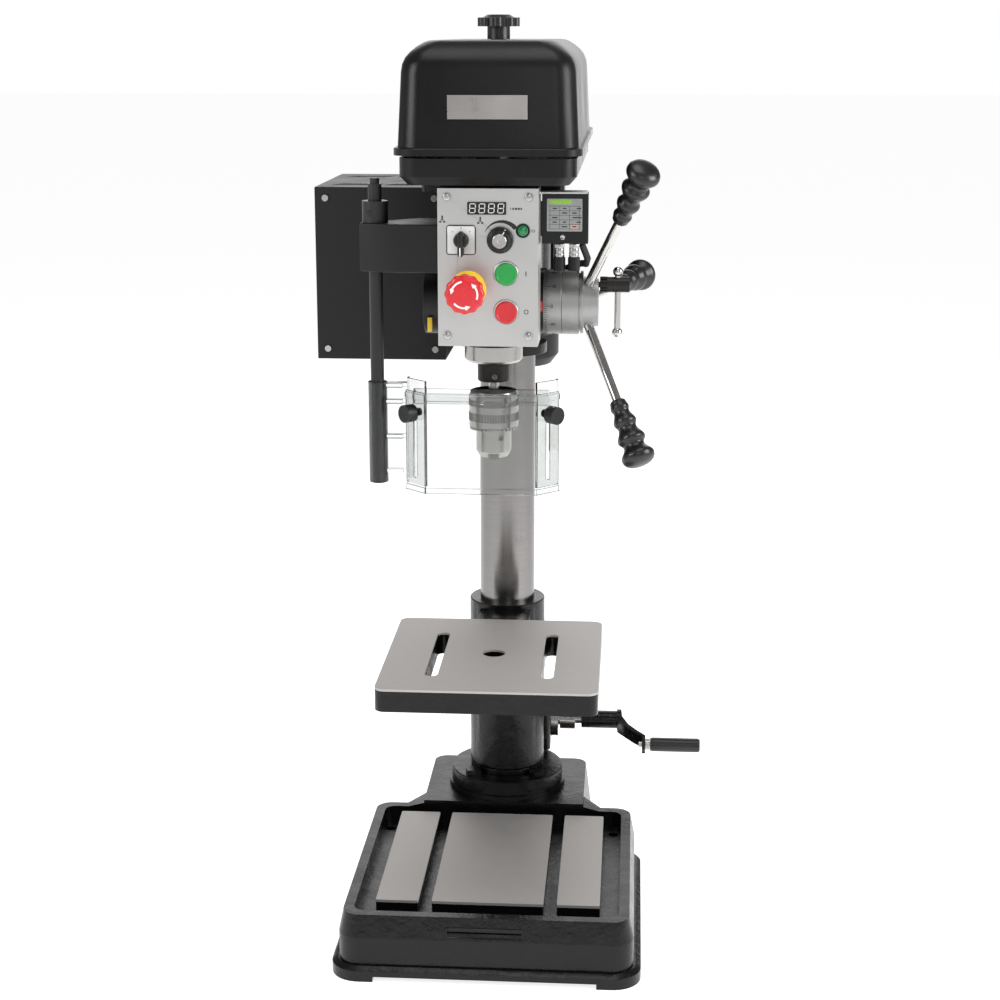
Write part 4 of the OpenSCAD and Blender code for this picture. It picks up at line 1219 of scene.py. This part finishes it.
    def stop_arrows(self) -> None:
        """Build the three white turning arrows on the stop head."""
        outer = [polar(14.0, angle) for angle in range(0, 60, 6)]
        point = [polar(15.4, 58), polar(13.1, 78), polar(10.8, 58)]
        inner = [polar(12.2, angle) for angle in range(54, -1, -6)]
        arrow = Bench.outline("arrow", outer + point + inner, 0.25)
        crown = self.front(*self.estop, self.face - self.estop_front - 0.1)
        arrows = Bench.copies(arrow, [crown @ spin(100 + 120 * k) for k in range(3)])
        self.finish(Bench.join("estop_arrows", arrows), Kind.WHITE, "stop_head", "red_plastic")

    def printing(self) -> None:
        """Build the printed marks: speed wedge, on and off signs, small pictograms and a unit."""
        angles = [152 - 11.6 * k for k in range(11)]
        inner = [polar(16.9, angle) for angle in angles]
        outer = [polar(17.4 + 0.42 * k, angle) for k, angle in enumerate(angles)]
        signs = [(Bench.outline("wedge", inner + outer[::-1], self.ink), *self.speed),
                 (Bench.tick(1.0, 5.0, self.ink), 38.3, 746.8),
                 (Bench.frame("off", 4.8, 4.8, 0.7, self.ink, 2.3), 38.6, 708.4),
                 (Bench.frame("lamp", 3.6, 2.6, 0.5, self.ink, 1.2), 45.4, 789.6)]
        # A small fork over the switch and over the speed knob
        fork = ((0, 2.6, 1.6, 3.4), (0, 0, 3.0, 1.0), (-2.0, -1.8, 2.2, 1.6), (2.0, -1.8, 2.2, 1.6))
        for x, z in ((-45.6, 800.0), (-7.5, 799.0)):
            signs += [(Bench.tick(wide, tall, self.ink), x + right, z + up) for right, up, wide, tall in fork]
        for right, wide in ((0, 0.7), (2.6, 1.6), (5.4, 2.2), (8.2, 2.0), (10.6, 1.4)):
            signs.append((Bench.tick(wide, 2.0, self.ink), 22.8 + right, 811.4))
        marks = [Bench.place(sign, self.front(x, z)) for sign, x, z in signs]
        self.finish(Bench.join("panel_printing", marks), Kind.BLACK_INK, "base", "trim_metal")


@dataclass
class BaseTrim(Assembly):
    """Blank cast frame on the base's front, and the cross hole of the ejector collar.

    Attributes:
        frame_spot: Middle of the frame.
        frame_lean: How far the base's front leans back, in degrees.
        hole_spot: Mouth of the cross hole.
    """

    frame_spot: Point = (0.0, -367.6, 55.0)
    frame_lean: float = -11.0
    hole_spot: Point = (2.0, -241.7, 630.0)

    def build(self) -> None:
        """Build the frame and the hole's rim."""
        cast = Bench.frame("name_frame", 82.0, 11.5, 1.3, 1.6, 1.0)
        Bench.place(cast, at(*self.frame_spot) @ spin(self.frame_lean, "X") @ TO_FRONT)
        self.finish(cast, Kind.CAST_ENAMEL, "base", "cast_black")
        rim = Bench.lathe("collar_hole", [(2.9, 0), (2.9, 0.5), (2.0, 0.6), (1.9, 0.1), (0.2, 0.1)], 32)
        Bench.place(rim, at(*self.hole_spot, TO_FRONT))
        self.finish(rim, Kind.MILLED, "spindle_body", "blackened_steel")


@dataclass
class Chuck(Assembly):
    """Knurled bands of the chuck's ring, and its dark dished top.

    Attributes:
        axis: X and Y of the spindle.
        bands: Name, bottom and top of each knurled band.
        bore: Inner radius of the bands.
        turned: Radius that they are turned to.
        knurled: Mean radius of the knurling.
        ridge: Height of its ridges from the mean.
        ridges: Ridges round it.
        dish: Height of the dished top.
    """

    axis: Span = (0.0, -225.0)
    bands: tuple[tuple[str, float, float], ...] = (
        ("chuck_knurl_upper", 598.3, 605.4), ("chuck_knurl_lower", 582.3, 591.2))
    bore: float = 24.6
    turned: float = 26.0
    knurled: float = 26.2
    ridge: float = 0.28
    ridges: int = 96
    dish: float = 613.4

    def build(self) -> None:
        """Build the knurled bands and the dark top."""
        for name, low, high in self.bands:
            self.finish(self.band(name, low, high), Kind.MILLED, "chuck_ring", "chuck_steel")
        top = Bench.lathe("chuck_dish", [(23.6, 0), (23.6, 0.25), (22.6, 0.3), (18.0, 0.1), (17.8, 0)], 96)
        self.finish(Bench.place(top, at(*self.axis, self.dish)), Kind.BLACKENED, "spindle_body", "chuck_steel")

    def band(self, name: str, low: float, high: float) -> Piece:
        """Build one knurled ring.

        Args:
            name: Name of the ring.
            low: Its bottom.
            high: Its top.

        Returns:
            The ring, in its place.
        """
        tall = high - low
        band = Bench.lathe(name, [(self.turned, 0), (self.turned, tall)], 2 * self.ridges)
        Bench.cut(band, [Bench.lathe("bore", [(self.bore, -1), (self.bore, tall + 1)])])
        Bench.place(band, at(*self.axis, low))
        for v in band.data.vertices:
            across, back = v.co.x - self.axis[0] * MM, v.co.y - self.axis[1] * MM
            if math.hypot(across, back) > (self.bore + self.turned) / 2 * MM:
                angle = math.atan2(back, across)
                reach = self.knurled + self.ridge * math.cos(self.ridges * angle)
                v.co.x = (self.axis[0] + reach * math.cos(angle)) * MM
                v.co.y = (self.axis[1] + reach * math.sin(angle)) * MM
        return band


@dataclass
class Feed(Assembly):
    """Depth scale on the feed hub with its pointer, the beaded grips and the spring's lock.

    Attributes:
        centre: Y and Z of the feed axis.
        radius: Radius of the scale ring.
        disc_x: X of the pointer disc's near side.
        scale_x: X where the graduations start.
        number_x: X of the numbers.
        graduations: Marks round the ring.
        numbers: Numbers round the ring.
        levers: Levers round the axis.
        lever_x: Where the lever axes meet the feed axis.
        lever_tilt: Outward lean of the levers, in degrees.
        first_lever: Angle of the first lever about the feed axis.
        beads: Height and radius of each waist and bead of a grip.
        crown: Height and radius of the steps that close its end.
        bead_steps: Steps from a waist to a bead.
    """

    centre: Span = (-190.0, 703.0)
    radius: float = 34.0
    disc_x: float = 47.0
    scale_x: float = 51.6
    number_x: float = 61.0
    graduations: int = 100
    numbers: int = 10
    levers: int = 3
    lever_x: float = 89.0
    lever_tilt: float = 21.0
    first_lever: float = 33.0
    beads: tuple[Span, ...] = (
        (116.7, 7.2), (118.6, 8.6), (125.2, 10.0), (130.0, 8.5), (141.3, 12.3), (148.0, 9.8),
        (161.2, 15.0), (168.2, 11.2), (180.6, 17.9))
    crown: tuple[Span, ...] = (
        (184.2, 17.2), (187.0, 15.2), (189.2, 12.0), (190.5, 7.6), (191.0, 3.0), (191.1, 0.3))
    bead_steps: int = 8

    def build(self) -> None:
        """Build the pointer, the spring's lock, the scale and the grips."""
        disc = Bench.lathe("pointer_disc", [(13, 0), (33, 0), (33, 3.8), (13, 3.8)], 96, 0.3)
        Bench.place(disc, at(self.disc_x, *self.centre, TO_RIGHT))
        self.finish(disc, Kind.BLACKENED, "base", "blackened_steel", "pointer_ring")
        pointer = Bench.bar("depth_pointer", (47.6, 50.9), (-225.4, -220.0), (697.5, 708.5), 0.5)
        self.finish(pointer, Kind.RED_INK, "base", "red_plastic")
        lock = Bench.bar("spring_lock", (-70, -65), (-226.5, -222), (675, 690), 0.6)
        self.finish(lock, Kind.YELLOW, "base", "yellow_plastic")
        self.scale()
        self.grips()

    def about(self, degrees: float, x: float) -> Matrix:
        """Place on the ring's wall at an angle up from the front, modelled lying on Z, long along X."""
        out = Matrix.Translation((0, 0, self.radius * MM))
        return at(x, *self.centre) @ spin(90 - degrees, "X") @ out

    def scale(self) -> None:
        """Build the graduations and the numbers."""
        marks = []
        for k in range(self.graduations):
            length = 8.0 if k % 10 == 0 else 6.0 if k % 5 == 0 else 4.2
            tick = Bench.bar("mark", (0, length), (-0.24, 0.24), (-0.1, 0.12))
            marks.append(Bench.place(tick, self.about(360 / self.graduations * k, self.scale_x)))
        for k in range(self.numbers):
            marks += self.number(10 * k, 360 / self.numbers * k)
        self.finish(Bench.join("depth_graduations", marks), Kind.BLACK_INK, "depth_ring", "knob_black")

    def number(self, value: int, degrees: float) -> list[Piece]:
        """Build one printed number of the scale from short bars.

        Args:
            value: The number.
            degrees: Where it stands round the ring.

        Returns:
            Its bars.
        """
        shapes = ("abcdef", "bc", "abged", "abgcd", "fgbc", "afgcd", "afgedc", "abc", "abcdefg", "abfgcd")
        side, level, half, pitch = 0.8, 0.65, 0.26, 2.6
        flat = {"a": (0, 2 * level), "g": (0, 0), "d": (0, -2 * level)}
        upright = {"f": (-side, level), "b": (side, level), "e": (-side, -level), "c": (side, -level)}
        marks = []
        for place, digit in enumerate(str(value)):
            for letter in shapes[int(digit)]:
                x, y = (flat | upright)[letter]
                wide, tall = (0.95, half) if letter in flat else (half, side)
                bar = Bench.bar("mark", (-wide, wide), (-tall, tall), (-0.12, 0.12))
                bar = Bench.place(bar, at(x + pitch * place, y, 0))
                marks.append(Bench.place(bar, self.about(degrees, self.number_x)))
        return marks

    def grips(self) -> None:
        """Build the beaded lever grips, their radius swinging smoothly between waists and beads."""
        steps = [self.beads[0]]
        for (low, thin), (high, thick) in zip(self.beads, self.beads[1:]):
            for k in range(1, self.bead_steps + 1):
                share = k / self.bead_steps
                swing = (1 - math.cos(math.pi * share)) / 2
                steps.append((low + (high - low) * share, thin + (thick - thin) * swing))
        steps += self.crown
        first = Bench.lathe("grip", [(wide, level) for level, wide in steps], 48)
        hub = at(self.lever_x, *self.centre)
        turns = [hub @ spin(self.first_lever + 360 / self.levers * k, "X") @ spin(self.lever_tilt, "Y")
                 for k in range(self.levers)]
        grips = Bench.join("lever_grip_set", Bench.copies(first, turns))
        self.finish(grips, Kind.PHENOLIC, "feed", "grip_black", "lever_grips")


@dataclass
class Hood(Assembly):
    """Deep-drawn belt cover: flanged rim, slightly tapered walls and a well-rounded top.

    Attributes:
        half: Half its width at the rim.
        ends: Front and back of the rim.
        rim: Height of the rim's underside.
        corner: Corner radius of the rim.
        sections: Outward offset and height of each section above the rim.
        flange: From the rim's edge to the hollow.
        below: How far the hollow's tool starts below the rim.
        hollow_corner: Corner radius of the hollow.
        hollow: Outward offset and height of each section of the hollow.
    """

    half: float = 94.0
    ends: Span = (-325.0, 150.0)
    rim: float = 863.6
    corner: float = 24.0
    sections: tuple[Span, ...] = (
        (0, 870.2), (-0.6, 870.8), (-3.2, 870.9), (-3.8, 872.0), (-7.4, 944.0), (-8.6, 951.5), (-11.5, 958.0),
        (-16.0, 963.4), (-22.0, 968.4), (-28.5, 972.4), (-33.0, 974.0), (-38.0, 974.5))
    flange: float = 10.0
    below: float = 5.0
    hollow_corner: float = 18.0
    hollow: tuple[Span, ...] = ((-1, 940.0), (-6, 955.0), (-20, 965.0), (-28, 968.5))

    def build(self) -> None:
        """Build the cover as a shell."""
        front, back = self.ends
        cover = Bench.plan("belt_cover", (-self.half, self.half), self.ends, self.rim, self.corner, 12)
        Bench.loft(list(self.sections), self.rim)
        Bench.done(cover)
        half, start = self.half - self.flange, self.rim - self.below
        hollow = Bench.plan("hollow", (-half, half), (front + self.flange, back - self.flange), start,
                            self.hollow_corner)
        Bench.loft(list(self.hollow), start)
        Bench.done(hollow)
        Bench.cut(cover, [hollow])
        Bench.smooth(cover, 40)
        self.finish(cover, Kind.COVER, "cover", "cover_black", "hood")


@dataclass
class Readout(FrontAssembly):
    """Sensor box beside the panel: blank printed label, screw and connector nuts.

    Attributes:
        face: Y of the box's front.
        label: Left, right, bottom and top of the label.
        ink: Thickness of the printing.
        raised: How far the printing stands off the face.
        row_pitch: From one printed line to the next.
        column_pitch: From one printed column to the next.
        rows: Cells up the label.
        columns: Cells across it.
        screw: X and Z of the screw.
        nuts_x: X of each connector.
        nuts_y: Y of the connectors.
        nut_steps: Radius, bottom and top of each step of a connector.
    """

    face: float = -262.0
    label: tuple[float, float, float, float] = (57.0, 93.0, 785.0, 818.0)
    ink: float = 0.3
    raised: float = 0.05
    row_pitch: float = 4.6
    column_pitch: float = 10.0
    rows: int = 5
    columns: int = 4
    screw: Span = (73.0, 779.0)
    nuts_x: Span = (69.5, 84.5)
    nuts_y: float = -250.0
    nut_steps: tuple[Point, ...] = ((5.2, 758.0, 761.5), (4.9, 761.5, 767.0), (5.8, 767.0, 771.5))

    def build(self) -> None:
        """Build the label with its printing, the screw and the nuts."""
        left, right, low, high = self.label
        x, z = (right - left) / 2, (high - low) / 2
        sheet = Bench.bar("readout_label", (-x, x), (-z, z), (-0.3, 0.25), 0, 1.0)
        self.put(sheet, ((left + right) / 2, (low + high) / 2), Kind.LABEL, "base", "panel_steel")
        title = self.print_bar(22.0, 4.0, left + 14.0, high - 3.4)
        self.finish(title, Kind.LIME_INK, "base", "green_plastic")
        key = self.print_bar(7.5, 4.0, left + 28.0, low + 4.8)
        self.finish(key, Kind.PINK_INK, "base", "red_plastic")
        self.finish(Bench.join("readout_printing", self.table()), Kind.BLACK_INK, "base", "knob_black")
        self.fastenings()

    def print_bar(self, wide: float, tall: float, x: float, z: float) -> Piece:
        """Print one bar on the label."""
        return Bench.place(Bench.tick(wide, tall, self.ink), self.front(x, z, self.raised))

    def table(self) -> list[Piece]:
        """Build the lines of the printed table, and a short bar in most of its cells.

        Returns:
            The bars.
        """
        left, right, low, high = self.label
        wide, tall, line = right - left - 3, high - low - 9.5, 0.3
        bars = [self.print_bar(wide, line, (left + right) / 2, low + 2.5 + self.row_pitch * k)
                for k in range(self.rows + 1)]
        bars += [self.print_bar(line, tall, left + 3 + self.column_pitch * k, low + 14.0)
                 for k in range(self.columns)]
        for k in range(self.columns):
            x = left + 8 + self.column_pitch * k if k < self.columns - 1 else right - 3.5
            for j in range(self.rows):
                if (k + j) % 3:
                    bars.append(self.print_bar(3.5 + (2 * k + j) % 3, 1.1, x, low + 4.8 + self.row_pitch * j))
        return bars

    def fastenings(self) -> None:
        """Build the screw under the label, and the connector nuts."""
        screw = Bench.lathe("readout_screw", [(2.7, -0.5), (2.7, 0.9), (2.2, 1.5), (0.2, 1.7)], 24)
        Bench.cut(screw, [Bench.bar("slot", (-1.6, 1.6), (-0.3, 0.3), (0.9, 3))])
        self.put(screw, self.screw, Kind.ZINC, "base", "trim_metal")
        widest = max(step[0] for step in self.nut_steps)
        nuts = []
        for x in self.nuts_x:
            for wide, low, high in self.nut_steps:
                sides = 6 if wide == widest else 32
                nut = Bench.lathe("nut", [(wide, 0), (wide, high - low)], sides, 0.3)
                nuts.append(Bench.place(nut, at(x, self.nuts_y, low)))
        self.finish(Bench.join("connector_nuts", nuts), Kind.ZINC, "base", "zinc_hardware")


ASSEMBLIES = (Studio(), CadDressing(), Panel(), Feed(), Chuck(), Readout(), Hood(), BaseTrim())


def main() -> None:
    """Build every sub-assembly in order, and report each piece."""
    logging.basicConfig(format="%(name)s: %(message)s")
    LOG.setLevel(logging.INFO)
    for assembly in ASSEMBLIES:
        LOG.info("building %s", type(assembly).__name__)
        assembly.build()


if __name__ == "__main__":
    main()
